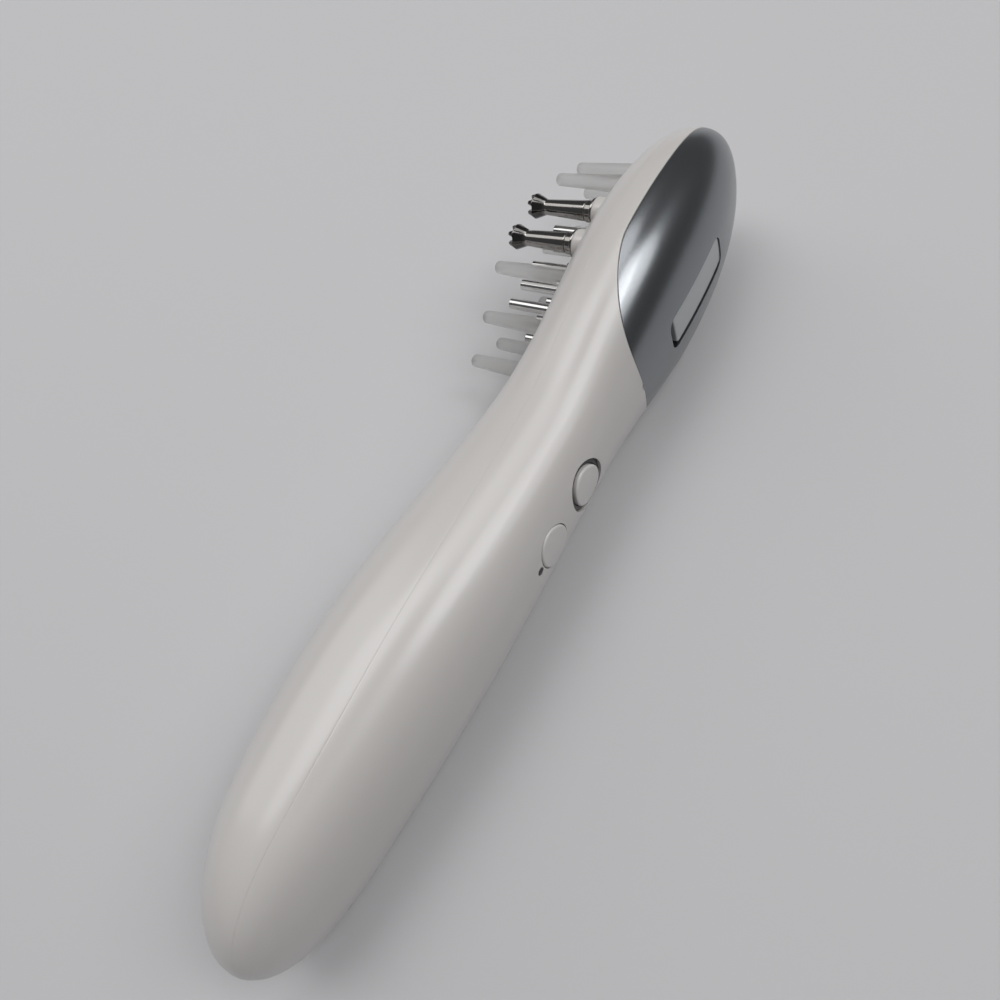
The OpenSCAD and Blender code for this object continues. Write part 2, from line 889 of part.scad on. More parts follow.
module motor_cradle() {
    color("black")
        lay_down()
            difference() {
                block([laser_board_x + board_thick, motor_y0 + motor_end, -motor_r - cradle_side],
                    [motor_x + cradle_over, motor_y0 + motor_len - motor_end, motor_r + cradle_side]);
                bar_y(0, comb_len, motor_r + grip_gap, [motor_x, 0]);
            }
}

// Eccentric weight: half a disc on the motor's shaft.
module eccentric_weight() {
    y0 = motor_y0 + motor_len + weight_gap;
    color("gray")
        lay_down() {
            difference() {
                bar_y(y0, y0 + weight_len, weight_r, [motor_x, 0]);
                block([motor_x + shaft_r, 0, -far], [far, comb_len, far]);
            }
            bar_y(motor_y0 + motor_end + shaft_gap, y0 + tiny, shaft_r, [motor_x, 0]);
        }
}

// A clear tooth: a tapered light guide with a rounded tip, a straight root that passes
// through the shell, and a flange that seats on the socket.
module clear_tooth(i) {
    round_r = tooth_tip_r * tooth_round;
    tip = [for (k = [0:5]) let (a = 90 * k / 5)
        [tooth_tip_r - round_r + round_r * sin(a), tip_x + round_r - round_r * cos(a)]];
    foot_x = laser_board_x - led_high - lamp_gap;
    color("white", 0.5)
        lay_down()
            turned_x(concat([[0, tip_x]], tip,
                [[tooth_root_r, tooth_root_x], [tooth_root_r, seat_x + fit / 2]],
                [[tooth_flange_r, seat_x + fit / 2], [tooth_flange_r, foot_x], [0, foot_x]]),
                tooth_spots[i - 1]);
}

// A laser barrel: a polished tube with a counterbored tip and a foot over its diode.
module laser_barrel(i) {
    foot_x = laser_board_x - diode_high - fit;
    spot = barrel_spots[i - 1];
    color("gainsboro")
        lay_down()
            difference() {
                union() {
                    bar_x(barrel_tip_x, foot_x - barrel_foot_len / 2, barrel_r, spot);
                    bar_x(seat_x + fit / 2, foot_x, barrel_flange_r, spot);
                }
                bar_x(-far, barrel_tip_x + barrel_bore_deep, barrel_bore_r, spot);
            }
}

// White bush that carries a crown contact: it sits in a recess and stands proud of the face.
module contact_bush(i) {
    spot = crown_spots[i - 1];
    foot = crown_foot_x(spot);
    hole = crown_pin_r + grip_gap;
    color("white")
        lay_down()
            turned_x([[hole, foot], [bush_r - bush_edge, foot], [bush_r, foot + bush_edge],
                [bush_r, bush_floor_x(spot)], [tooth_root_r, bush_floor_x(spot)],
                [tooth_root_r, seat_x], [hole, seat_x]], spot);
}

// Where a bush stands in its recess, and where its crown contact begins.
function bush_floor_x(s) = face_x(s[0], abs(s[1]) + bush_r + fit) + bush_seat;
function crown_foot_x(s) = face_x(s[0], s[1]) - bush_proud;

// A V-shaped notch across the crown's rim.
module notch() {
    rotate([90, 0, 0])
        linear_extrude(4 * crown_r, center = true)
            polygon([[-notch_deep, notch_wide], [notch_deep, 0], [-notch_deep, -notch_wide]]);
}

// A crown contact: a cupped crown with notches, a tapered barrel, a collar, a disc and a
// thin pin through its bush to the board.
module crown_contact(i) {
    spot = crown_spots[i - 1];
    foot = crown_foot_x(spot);
    collar_r = crown_neck_r + collar_grow;
    cone_r = crown_neck_r + cone_grow;
    groove_r = cone_r - groove;
    disc_r = bush_r - groove;
    disc_x = foot - 2 * groove;
    collar_x = disc_x - 1.6;
    pin_end = laser_board_x - fit / 2;
    profile = [
        [0, tip_x + cup_deep], [crown_r - rim_in, tip_x], [crown_r - rim_flat, tip_x],
        [crown_r, tip_x + rim_drop], [crown_neck_r, tip_x + neck_deep],
        [cone_r, collar_x - groove - 0.1], [groove_r, collar_x - groove],
        [groove_r, collar_x], [collar_r, collar_x], [collar_r, disc_x],
        [disc_r, disc_x], [disc_r, foot - grip_gap], [crown_pin_r, foot - grip_gap],
        [crown_pin_r, pin_end], [0, pin_end]
    ];
    color("gainsboro")
        lay_down()
            difference() {
                turned_x(profile, spot);
                for (a = [0:60:120])
                    translate([tip_x, spot[0], spot[1]])
                        rotate([a, 0, 0])
                            notch();
            }
}

front_shell();
back_shell();
head_cover();
power_button();
button_ring();
mode_button();
power_stem();
mode_stem();
power_switch();
mode_switch();
light_pipe();
indicator_led();
main_board();
slider();
slide_lever();
slide_switch();
switch_board();
switch_screws();
battery();
battery_cradle();
battery_contacts();
charging_jack();
laser_board();
laser_diodes();
tooth_leds();
board_ribbon();
vibration_motor();
motor_cradle();
eccentric_weight();
shell_screws();
board_screws();
for (i = [1:11]) clear_tooth(i);
for (i = [1:10]) laser_barrel(i);
for (i = [1:2]) crown_contact(i);
for (i = [1:2]) contact_bush(i);
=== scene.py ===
import logging
import math
from dataclasses import dataclass, field
from enum import Enum
from typing import Callable

import bmesh
import bpy
import numpy as np
from mathutils import Matrix, Vector


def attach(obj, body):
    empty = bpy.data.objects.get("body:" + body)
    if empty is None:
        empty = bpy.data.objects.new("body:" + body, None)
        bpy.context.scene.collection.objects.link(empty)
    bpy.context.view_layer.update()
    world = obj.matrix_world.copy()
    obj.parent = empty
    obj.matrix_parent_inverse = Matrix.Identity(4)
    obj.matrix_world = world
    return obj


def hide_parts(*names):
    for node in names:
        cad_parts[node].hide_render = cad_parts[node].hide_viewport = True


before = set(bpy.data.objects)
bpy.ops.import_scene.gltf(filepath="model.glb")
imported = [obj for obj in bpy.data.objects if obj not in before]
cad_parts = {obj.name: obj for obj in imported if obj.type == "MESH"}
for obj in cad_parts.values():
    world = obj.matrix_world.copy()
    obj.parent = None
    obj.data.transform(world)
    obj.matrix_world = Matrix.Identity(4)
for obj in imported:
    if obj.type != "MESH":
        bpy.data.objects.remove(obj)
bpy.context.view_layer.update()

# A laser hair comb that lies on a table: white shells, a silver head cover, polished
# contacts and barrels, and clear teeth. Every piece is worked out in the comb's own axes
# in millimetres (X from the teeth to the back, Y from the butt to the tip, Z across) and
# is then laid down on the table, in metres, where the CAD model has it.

Array = np.ndarray
Triple = tuple[float, float, float]  # a colour, a point, a direction or three heights
Pair = tuple[float, float]  # a place along and across, or a radius and a height
Edge = Callable[[Array], Array]  # the level x of an edge over places along the comb
Surface = Callable[[Array, Array], Array]  # the level x over places along and across
Inputs = dict[str | int, object]  # a node's named or numbered inputs

LOG = logging.getLogger("laser_hair_comb")
CREASE = 38.0  # degrees, beyond which an edge is sharp
MERGE = 5e-9  # metres, under which two vertices are one
TINY = 1e-9  # keeps a divisor from zero


class Rider(Enum):
    """The bodies that the dressed pieces ride on."""

    CASING = "casing"
    POWER = "power_button"
    MODE = "mode_button"
    SLIDER = "slider"


class Slot(Enum):
    """The record's material slots."""

    SHELL = "shell_white"
    COVER = "cover_silver"
    BUTTON = "button_white"
    RING = "ring_dark"
    CLEAR = "clear_plastic"
    METAL = "polished_metal"
    BOARD = "board_green"
    RIBBON = "ribbon_amber"
    BATTERY = "battery_wrap"
    BRASS = "contact_brass"
    LAMP = "led_red"
    STEEL = "plain_steel"
    RUBBER = "motor_rubber"


class Side(Enum):
    """The two long sides of the comb, as the sign of X."""

    FACE = -1.0
    BACK = 1.0


# ---------------------------------------------------------------- shader graphs


class Link:
    """A shader value that takes part in arithmetic: each operator adds its Math node."""

    def __init__(self, graph: "Graph", socket: bpy.types.NodeSocket) -> None:
        """Keeps the graph and the output socket that the value comes from."""
        self.graph = graph
        self.socket = socket

    def _with(self, operation: str, first: "Link | float", second: "Link | float") -> "Link":
        """One Math node on two values, either of which may be a number."""
        return self.graph.link("ShaderNodeMath", {"operation": operation}, {0: first, 1: second})

    def __add__(self, other: "Link | float") -> "Link":
        """self + other."""
        return self._with("ADD", self, other)

    def __radd__(self, other: "Link | float") -> "Link":
        """other + self."""
        return self._with("ADD", other, self)

    def __sub__(self, other: "Link | float") -> "Link":
        """self - other."""
        return self._with("SUBTRACT", self, other)

    def __rsub__(self, other: "Link | float") -> "Link":
        """other - self."""
        return self._with("SUBTRACT", other, self)

    def __mul__(self, other: "Link | float") -> "Link":
        """self * other."""
        return self._with("MULTIPLY", self, other)

    def __rmul__(self, other: "Link | float") -> "Link":
        """other * self."""
        return self._with("MULTIPLY", other, self)

    def clamped(self) -> "Link":
        """The value held between 0 and 1."""
        return self.graph.link("ShaderNodeClamp", {}, {"Value": self})


class Graph:
    """The node tree of a material or of the world."""

    def __init__(self, owner: bpy.types.Material | bpy.types.World) -> None:
        """Clears the owner's node tree and keeps it.

        Args:
            owner: the material or the world.
        """
        owner.use_nodes = True
        self.tree = owner.node_tree
        self.tree.nodes.clear()

    def node(self, kind: str, settings: dict[str, object], values: Inputs) -> bpy.types.Node:
        """Adds a node.

        Args:
            kind: the node's type.
            settings: properties of the node, which are set first.
            values: a number, a colour or a Link for each named or numbered input.

        Returns:
            The node.
        """
        made = self.tree.nodes.new(kind)
        for key, value in settings.items():
            setattr(made, key, value)
        for key, value in values.items():
            if isinstance(value, Link):
                self.tree.links.new(value.socket, made.inputs[key])
            else:
                made.inputs[key].default_value = value
        return made

    def link(
        self, kind: str, settings: dict[str, object], values: Inputs, output: str | int = 0
    ) -> Link:
        """Adds a node and gives one of its outputs as a value."""
        return Link(self, self.node(kind, settings, values).outputs[output])

    def end(self, shader: str, values: Inputs, output: str) -> None:
        """Adds the last shader and the output node that shows it."""
        self.node(output, {}, {"Surface": self.link(shader, {}, values)})

    def place(self) -> Link:
        """The shaded point's place in the object's own axes, in metres."""
        return self.link("ShaderNodeTexCoord", {}, {}, "Object")

    def noise(self, place: Link, scale: float, detail: float = 2.0) -> Link:
        """Noise between 0 and 1, with scale waves a metre."""
        values: Inputs = {"Vector": place, "Scale": scale, "Detail": detail}
        return self.link("ShaderNodeTexNoise", {}, values, "Fac")

    def blend(self, share: Link, low: Link | Triple, high: Triple) -> Link:
        """A colour that goes from low to high as share goes from 0 to 1.

        Args:
            share: the share of the high colour.
            low: a colour, or a Link to one.
            high: a colour.

        Returns:
            The mixed colour.
        """
        first = low if isinstance(low, Link) else (*low, 1.0)
        values: Inputs = {0: share, 6: first, 7: (*high, 1.0)}
        return self.link("ShaderNodeMix", {"data_type": "RGBA"}, values, 2)


@dataclass(frozen=True)
class Finish:
    """A surface finish: two near tints, a sheen that varies a little, and a fine relief.

    The tint goes from base to deep with slow noise, the roughness swings about its mean
    with finer noise, and the same fine noise is the relief behind the Bump node.
    """

    slot: Slot
    name: str
    base: Triple
    deep: Triple
    tint_scale: float = 60.0
    tint_contrast: float = 2.0
    roughness: float = 0.4
    swing: float = 0.06
    metallic: float = 0.0
    coat: float = 0.0
    coat_roughness: float = 0.05
    relief: float = 0.02
    relief_scale: float = 900.0
    relief_detail: float = 3.0
    relief_depth: float = 0.0002
    fixed: dict[str, float] = field(default_factory=dict)

    def tint(self, graph: Graph, place: Link) -> Link:
        """The colour: between base and deep by slow noise.

        Args:
            graph: the material's node tree.
            place: the shaded point.

        Returns:
            The colour.
        """
        slow = graph.noise(place, self.tint_scale)
        share = ((slow - 0.5) * self.tint_contrast + 0.5).clamped()
        return graph.blend(share, self.base, self.deep)

    def make(self) -> bpy.types.Material:
        """Builds the material, or gives it back if it is there already.

        Returns:
            The material.
        """
        ready = bpy.data.materials.get(self.name)
        if ready is not None:
            return ready
        material = bpy.data.materials.new(self.name)
        graph = Graph(material)
        place = graph.place()
        fine = graph.noise(place, self.relief_scale, self.relief_detail)
        bump = {"Strength": self.relief, "Distance": self.relief_depth, "Height": fine}
        values: Inputs = {
            "Base Color": self.tint(graph, place),
            "Roughness": (self.roughness + (fine - 0.5) * self.swing).clamped(),
            "Metallic": self.metallic,
            "Coat Weight": self.coat,
            "Coat Roughness": self.coat_roughness,
            "Normal": graph.link("ShaderNodeBump", {}, bump, "Normal"),
            **self.fixed,
        }
        graph.end("ShaderNodeBsdfPrincipled", values, "ShaderNodeOutputMaterial")
        return material


# Darkens the colour past a level along an axis; it darkens the crown contacts' cups.
@dataclass(frozen=True)
class DarkerBelowLevel(Finish):
    """A finish that is darker beyond a level along a direction.

    The level of a point is its dot product with the direction, in metres. The colour goes
    to the dark one over the fade's length below the level, and is the plain one above it.
    """

    way: Triple = (0.0, 0.0, 1.0)
    level: float = 0.0
    fade: float = 0.001
    dark: Triple = (0.135, 0.130, 0.126)

    def tint(self, graph: Graph, place: Link) -> Link:
        """The plain colour, and the dark one beyond the level.

        Args:
            graph: the material's node tree.
            place: the shaded point.

        Returns:
            The colour.
        """
        dot = {"operation": "DOT_PRODUCT"}
        height = graph.link("ShaderNodeVectorMath", dot, {0: place, 1: self.way}, "Value")
        share = ((self.level - height) * (1.0 / self.fade)).clamped()
        return graph.blend(share, super().tint(graph, place), self.dark)


SHELL_WHITE = Finish(
    Slot.SHELL, "shell_white_gloss", (0.620, 0.596, 0.577), (0.600, 0.575, 0.556),
    tint_scale=18.0, roughness=0.30, swing=0.03, coat=0.35, coat_roughness=0.19,
    relief=0.012, relief_scale=700.0,
)
COVER_SILVER = Finish(
    Slot.COVER, "cover_silver_satin", (0.240, 0.252, 0.264), (0.232, 0.244, 0.257),
    tint_scale=1500.0, roughness=0.26, swing=0.04, metallic=0.95, coat=0.12,
    coat_roughness=0.12, relief=0.012, relief_scale=3500.0,
)
BUTTON_WHITE = Finish(
    Slot.BUTTON, "button_white_satin", (0.640, 0.622, 0.606), (0.622, 0.604, 0.588),
    roughness=0.34, swing=0.04, coat=0.15,
)
SLIDER_GREY = Finish(
    Slot.BUTTON, "slider_grey_satin", (0.450, 0.462, 0.472), (0.435, 0.448, 0.458),
    roughness=0.36, swing=0.04, coat=0.1,
)
RING_DARK = Finish(
    Slot.RING, "ring_dark_plastic", (0.040, 0.039, 0.037), (0.032, 0.031, 0.030),
    roughness=0.38,
)
CLEAR_PLASTIC = Finish(
    Slot.CLEAR, "clear_tooth_frosted", (0.66, 0.65, 0.63), (0.64, 0.63, 0.61),
    roughness=0.3, swing=0.06, relief=0.04,
    fixed={"Transmission Weight": 0.8, "IOR": 1.3, "Alpha": 0.58},
)
POLISHED_METAL = Finish(
    Slot.METAL, "polished_metal", (0.250, 0.240, 0.230), (0.235, 0.225, 0.215),
    tint_scale=300.0, roughness=0.15, swing=0.04, metallic=1.0, relief=0.01,
)
BOARD_GREEN = Finish(
    Slot.BOARD, "board_green", (0.020, 0.120, 0.045), (0.012, 0.085, 0.030),
    tint_scale=350.0, roughness=0.4, coat=0.3,
)
RIBBON_AMBER = Finish(
    Slot.RIBBON, "ribbon_amber", (0.420, 0.180, 0.040), (0.380, 0.150, 0.030), roughness=0.35,
)
BATTERY_WRAP = Finish(
    Slot.BATTERY, "battery_wrap", (0.030, 0.090, 0.330), (0.025, 0.075, 0.290), roughness=0.3,
    coat=0.4,
)
CONTACT_BRASS = Finish(
    Slot.BRASS, "contact_brass", (0.700, 0.500, 0.230), (0.650, 0.450, 0.200), roughness=0.28,
    metallic=1.0,
)
LAMP_RED = Finish(
    Slot.LAMP, "lamp_red", (0.450, 0.030, 0.025), (0.400, 0.025, 0.020), roughness=0.25,
)
PLAIN_STEEL = Finish(
    Slot.STEEL, "plain_steel", (0.480, 0.480, 0.490), (0.450, 0.450, 0.460), roughness=0.3,
    metallic=1.0,
)
# Dark plastic for the stems, switches, cradles, jack and lens; on the slider's guide plate this
# dark colour is painted shade for the recess under the slot.
DARK_PLASTIC_AND_SHADE = Finish(
    Slot.RUBBER, "dark_plastic", (0.030, 0.030, 0.032), (0.024, 0.024, 0.026), roughness=0.5,
)


# ---------------------------------------------------------------- the comb's form


def ease(share: Array) -> Array:
    """Smooth step: 3t^2 - 2t^3 for t held between 0 and 1."""
    held = np.clip(share, 0.0, 1.0)
    return held * held * (3.0 - 2.0 * held)


def turn(y: Array, start: float, end: float, first: float, last: float) -> Array:
    """A value that changes from first to last between two places, by the smooth step."""
    return first + (last - first) * ease((y - start) / (end - start))


def quarter(count: int) -> Array:
    """Equal angles over a quarter turn, from 0."""
    return np.linspace(0.0, math.pi / 2.0, count)


@dataclass(frozen=True)
class BodyForm:
    """The comb's outer form: superellipse sections along a bent centre line.

    A section at place y has its centre at x = centre(y) and its outline at polar angle a,
    measured from the back, where (|cos a|^n + |sin a|^n)^(-1/n) is the radius as a share
    of the half thickness along X and of the half width along Z. The handle is thickest at
    full_y and widest at wide_y, the neck thinnest at neck_y and slimmest at slim_y, and
    the head has its full thickness at head_y and its full width at head_wide_y.
    """

    length: float = 216.5
    handle_thick: float = 35.0
    neck_thick: float = 27.5
    head_thick: float = 29.6
    handle_wide: float = 36.5
    neck_wide: float = 30.6
    head_wide: float = 45.0
    bend: float = 8.85
    power: float = 2.3
    end_power: float = 2.15
    full_y: float = 66.0
    wide_y: float = 55.0
    neck_y: float = 136.9
    slim_y: float = 118.8
    head_y: float = 171.5
    head_wide_y: float = 168.0
    bend_start_y: float = 34.3
    bend_end_y: float = 164.9
    butt_run: float = 26.8
    head_mid: float = 0.85
    butt_rise: float = 3.3

    def centre(self, y: Array) -> Array:
        """The centre line: a smooth step to the head, and a square-law rise at the butt.

        Args:
            y: places along the comb.

        Returns:
            The height x of the sections' centres.
        """
        rise = self.butt_rise * np.clip(1.0 - y / self.bend_start_y, 0.0, None) ** 2
        low = self.head_mid - self.bend
        return turn(y, self.bend_start_y, self.bend_end_y, low, self.head_mid) + rise

    def _end(self, y: Array, low: float, high: float) -> Array:
        """The share of the full size near the ends: 1 - u^m to the power 1/m on each.

        Args:
            y: places along the comb.
            low: where the butt's rounding ends.
            high: where the tip's rounding starts.

        Returns:
            The shares, from 0 at the very ends to 1 between the roundings.
        """
        m = self.end_power
        butt = np.clip((low - y) / low, 0.0, 1.0)
        tip = np.clip((y - high) / (self.length - high), 0.0, 1.0)
        return (1.0 - butt**m) ** (1.0 / m) * (1.0 - tip**m) ** (1.0 / m)

    def half_thick(self, y: Array, inset: float = 0.0) -> Array:
        """Half the thickness: smooth steps from handle to neck and head, less the inset.

        Args:
            y: places along the comb.
            inset: how far inside the outer surface.

        Returns:
            The half thickness, which falls to 0 at both ends.
        """
        handle = turn(y, self.full_y, self.neck_y, self.handle_thick, self.neck_thick)
        head = turn(y, self.neck_y, self.head_y, self.neck_thick, self.head_thick)
        full = np.where(y < self.neck_y, handle, head)
        return (full / 2.0 - inset) * self._end(y, self.full_y, self.head_y)

    def half_wide(self, y: Array, inset: float = 0.0) -> Array:
        """Half the width: smooth steps from handle to neck and head, less the inset.

        Args:
            y: places along the comb.
            inset: how far inside the outer surface.

        Returns:
            The half width, which falls to 0 at both ends.
        """
        handle = turn(y, self.wide_y, self.slim_y, self.handle_wide, self.neck_wide)
        head = turn(y, self.slim_y, self.head_wide_y, self.neck_wide, self.head_wide)
        full = np.where(y < self.slim_y, handle, head)
        return (full / 2.0 - inset) * self._end(y, self.butt_run, self.head_wide_y)

    def shifted(self, y: Array, inset: float) -> Array:
        """Where a section of the inset form stands, which is shorter at both ends."""
        return inset + y * (self.length - 2.0 * inset) / self.length

    def point(self, y: Array, angle: Array, inset: float = 0.0) -> Array:
        """Points of the form at a place and a polar angle.

        Args:
            y: places along the comb.
            angle: angles from the back, of a shape that goes with y's.
            inset: how far inside the outer surface.

        Returns:
            The points, with X, Y and Z on the last axis.
        """
        cos, sin = np.cos(angle), np.sin(angle)
        reach = (np.abs(cos) ** self.power + np.abs(sin) ** self.power) ** (-1.0 / self.power)
        x = self.centre(y) + self.half_thick(y, inset) * reach * cos
        z = self.half_wide(y, inset) * reach * sin
        return np.stack([x, self.shifted(y, inset) + 0.0 * x, z], -1)

    def angle_at(self, y: Array, level: Array, inset: float = 0.0) -> Array:
        """The polar angle at which a section reaches a level, held to 0 and pi.

        The level as a share s of the half thickness gives the width's share as
        (1 - |s|^n)^(1/n), and the angle is the one whose tangent is the second over s.

        Args:
            y: places along the comb.
            level: the x to reach at each place.
            inset: how far inside the outer surface.

        Returns:
            The angles.
        """
        thick = np.maximum(self.half_thick(y, inset), TINY)
        share = np.clip((level - self.centre(y)) / thick, -1.0, 1.0)
        across = (1.0 - np.abs(share) ** self.power) ** (1.0 / self.power)
        return np.arctan2(across, share)

    def back(self, y: Array, z: Array, inset: float = 0.0) -> Array:
        """Height of the back surface: centre + half thickness (1 - |z/half width|^n)^(1/n).

        Args:
            y: places along the comb.
            z: places across it.
            inset: how far inside the outer surface.

        Returns:
            The heights x.
        """
        share = np.clip(np.abs(z) / self.half_wide(y, inset), 0.0, 1.0)
        rise = (1.0 - share**self.power) ** (1.0 / self.power)
        return self.centre(y) + self.half_thick(y, inset) * rise

    def crest(self, y: float) -> float:
        """Height of the back surface on the middle plane."""
        return float(self.back(np.asarray(y), np.asarray(0.0)))

    def face(self, y: float, z: float) -> float:
        """Height of the surface on the teeth side over a place along and across."""
        at = np.asarray(float(y))
        return float(2.0 * self.centre(at) - self.back(at, np.asarray(float(z))))


@dataclass(frozen=True)
class TablePose:
    """How the comb lies: rolled towards the teeth, tilted along, and set on the table."""

    lean: float = 16.5
    droop: float = 0.54
    shift: Triple = (9.023, -108.25, 20.355)

    def turned(self) -> Array:
        """The rotation: roll about Y by minus lean, then tilt about X by droop."""
        roll = Matrix.Rotation(math.radians(-self.lean), 3, "Y")
        return np.array(Matrix.Rotation(math.radians(self.droop), 3, "X") @ roll)

    def lay(self, points: Array) -> Array:
        """Points in the comb's axes, in millimetres, to the table's, in metres."""
        return (points @ self.turned().T + np.array(self.shift)) / 1000.0


FORM = BodyForm()
POSE = TablePose()


# ---------------------------------------------------------------- surfaces to meshes


def put(name: str, data: bpy.types.ID) -> bpy.types.Object:
    """Adds an object to the scene.

    Args:
        name: the object's name.
        data: its mesh, light or camera.

    Returns:
        The object.
    """
    made = bpy.data.objects.new(name, data)
    bpy.context.scene.collection.objects.link(made)
    return made


def grid_faces(rows: int, columns: int) -> Array:
    """Quads of a grid whose columns close on themselves.

    Args:
        rows: number of rows.
        columns: number of points in a row.

    Returns:
        Four vertex numbers for each face.
    """
    across = np.arange(columns)
    near = np.arange(rows - 1)[:, None] * columns
    a, b = near + across, near + (across + 1) % columns
    return np.stack([a, b, b + columns, a + columns], -1).reshape(-1, 4)


def finish_mesh(name: str, mesh: bpy.types.Mesh, crease: float = CREASE) -> bpy.types.Object:
    """Smooths a mesh but for its sharp edges, and puts it in the scene.

    Args:
        name: the piece's name.
        mesh: its mesh.
        crease: the angle in degrees beyond which an edge is sharp.

    Returns:
        The piece.
    """
    mesh.shade_smooth()
    mesh.set_sharp_from_angle(angle=math.radians(crease))
    return put(name, mesh)


def make_piece(
    name: str, points: Array, faces: Array, crease: float = CREASE
) -> bpy.types.Object:
    """A mesh object from points in the comb's axes, its doubles merged and normals outward.

    Args:
        name: the piece's name.
        points: vertices in millimetres.
        faces: quads as vertex numbers.
        crease: the angle in degrees beyond which an edge is sharp.

    Returns:
        The object, at the origin, with its place in its mesh.
    """
    mesh = bpy.data.meshes.new(name)
    mesh.from_pydata(POSE.lay(points.reshape(-1, 3)), [], faces.tolist())
    bm = bmesh.new()
    bm.from_mesh(mesh)
    bmesh.ops.remove_doubles(bm, verts=bm.verts, dist=MERGE)
    bmesh.ops.recalc_face_normals(bm, faces=bm.faces)
    bm.to_mesh(mesh)
    bm.free()
    return finish_mesh(name, mesh, crease)


def softened(
    profile: list[Pair], radius: float, steps: int = 4, side_share: float = 0.45
) -> Array:
    """A profile whose corners are rounded by short parabolas.

    At each inner corner P the curve goes from A to B, which lie on the two sides at the
    radius or at a share of the side, as (1-t)^2 A + 2t(1-t) P + t^2 B.

    Args:
        profile: the corners.
        radius: how far from a corner its curve starts.
        steps: points on each curve.
        side_share: the most of a side that a curve takes.

    Returns:
        The points of the rounded profile.
    """
    points = np.array(profile, float)
    corner = points[1:-1]
    before, after = points[:-2] - corner, points[2:] - corner
    long_a = np.linalg.norm(before, axis=1, keepdims=True)
    long_b = np.linalg.norm(after, axis=1, keepdims=True)
    start = corner + before / long_a * np.minimum(radius, side_share * long_a)
    end = corner + after / long_b * np.minimum(radius, side_share * long_b)
    t = np.linspace(0.0, 1.0, steps)[None, :, None]
    start, corner, end = start[:, None], corner[:, None], end[:, None]
    arcs = (1 - t) ** 2 * start + 2 * t * (1 - t) * corner + t**2 * end
    return np.concatenate([points[:1], arcs.reshape(-1, 2), points[-1:]])


def closed_profile(profile: list[Pair], radius: float) -> Array:
    """A ring-shaped profile, softened, whose last point meets its first."""
    middle = tuple((np.array(profile[0]) + np.array(profile[-1])) / 2.0)
    return softened([middle, *profile, middle], radius)


def turned_points(profile: Array, spot: Pair, sides: int) -> Array:
    """A profile of (radius, x) carried round an axis along X at a place.

    Point (k, j) is (x_k, along + r_k cos a_j, across + r_k sin a_j), for the angles a_j.

    Args:
        profile: radius and x of each point.
        spot: the axis' place along and across.
        sides: number of angles.

    Returns:
        The points (profile point, angle, 3).
    """
    angle = np.linspace(0.0, 2.0 * math.pi, sides, endpoint=False)[None, :]
    r, x = profile[:, :1], profile[:, 1:]
    along, across = spot[0] + r * np.cos(angle), spot[1] + r * np.sin(angle)
    return np.stack([x + 0.0 * angle, along, across], -1)


def turned_piece(name: str, profile: Array, spot: Pair, sides: int) -> bpy.types.Object:
    """A turned piece: the profile carried round its axis."""
    points = turned_points(profile, spot, sides)
    return make_piece(name, points, grid_faces(len(profile), sides))


def rounded_outline(
    half: Pair,
    corner: float,
    drawn_in: Array,
    least: float = 0.15,
    arc_points: int = 9,
    side_points: tuple[int, int] = (25, 9),
) -> Array:
    """A rectangle with round corners, drawn in by several distances.

    A drawn-in outline keeps its sides parallel: its half sizes and its corner radius lose
    the distance, but for a least radius.

    Args:
        half: half the length and half the width.
        corner: corner radius.
        drawn_in: the distances.
        least: the least corner radius.
        arc_points: points on each corner.
        side_points: points on each long and each short side, with the corners' ends.

    Returns:
        Points (distance, point, [along, across]) about the centre.
    """
    d = drawn_in[:, None]
    y, z = np.maximum(half[0] - d, 0.0), np.maximum(half[1] - d, 0.0)
    r = np.minimum(np.maximum(corner - d, least), np.minimum(y, z))
    arc = quarter(arc_points)[None, :]
    along = np.linspace(1.0, -1.0, side_points[0])[None, 1:-1]
    across = np.linspace(-1.0, 1.0, side_points[1])[None, 1:-1]
    right = np.stack([y + 0 * across, (z - r) * across], -1)
    corner_a = np.stack([y - r + r * np.cos(arc), z - r + r * np.sin(arc)], -1)
    top = np.stack([(y - r) * along, z + 0 * along], -1)
    corner_b = np.stack([-(y - r) - r * np.sin(arc), z - r + r * np.cos(arc)], -1)
    first_half = np.concatenate([right, corner_a, top, corner_b], 1)
    return np.concatenate([first_half, -first_half], 1)


def pad_piece(
    name: str,
    middle: float,
    half: Pair,
    corner: float,
    edge_r: float,
    top: Surface,
    base: float,
    edge_rings: int = 7,
    inner_rings: int = 8,
) -> bpy.types.Object:
    """A pad over a rounded rectangle: its top follows a surface and its edge is rounded.

    Rings of the outline, drawn in by d, lie at top(y, z) less the edge's fall, which is
    r - sqrt(r^2 - (r - d)^2) while d is under the edge radius r. The sides go straight
    down to the base, which is closed by the same rings.

    Args:
        name: the piece's name.
        middle: the pad's middle along the comb.
        half: half length and half width.
        corner: corner radius of the outline.
        edge_r: radius of the upper edge.
        top: the height of the top over places along and across.
        base: the height of the underside.
        edge_rings: rings on the rounded edge.
        inner_rings: rings inside it.

    Returns:
        The pad.
    """
    edge = edge_r * (1 - np.cos(quarter(edge_rings)))
    inner = edge_r + (half[1] - edge_r) * np.sin(quarter(inner_rings + 1))[1:]
    drawn_in = np.concatenate([edge, inner])
    outline = rounded_outline(half, corner, drawn_in)
    y, z = middle + outline[..., 0], outline[..., 1]
    left = np.clip(edge_r - drawn_in, 0, None)
    fall = edge_r - np.sqrt(np.maximum(edge_r**2 - left**2, 0.0))
    upper = np.stack([top(y, z) - fall[:, None], y, z], -1)[::-1]
    lower = np.stack([base + 0.0 * y, y, z], -1)
    points = np.concatenate([upper, lower])
    return make_piece(name, points, grid_faces(len(points), points.shape[1]))


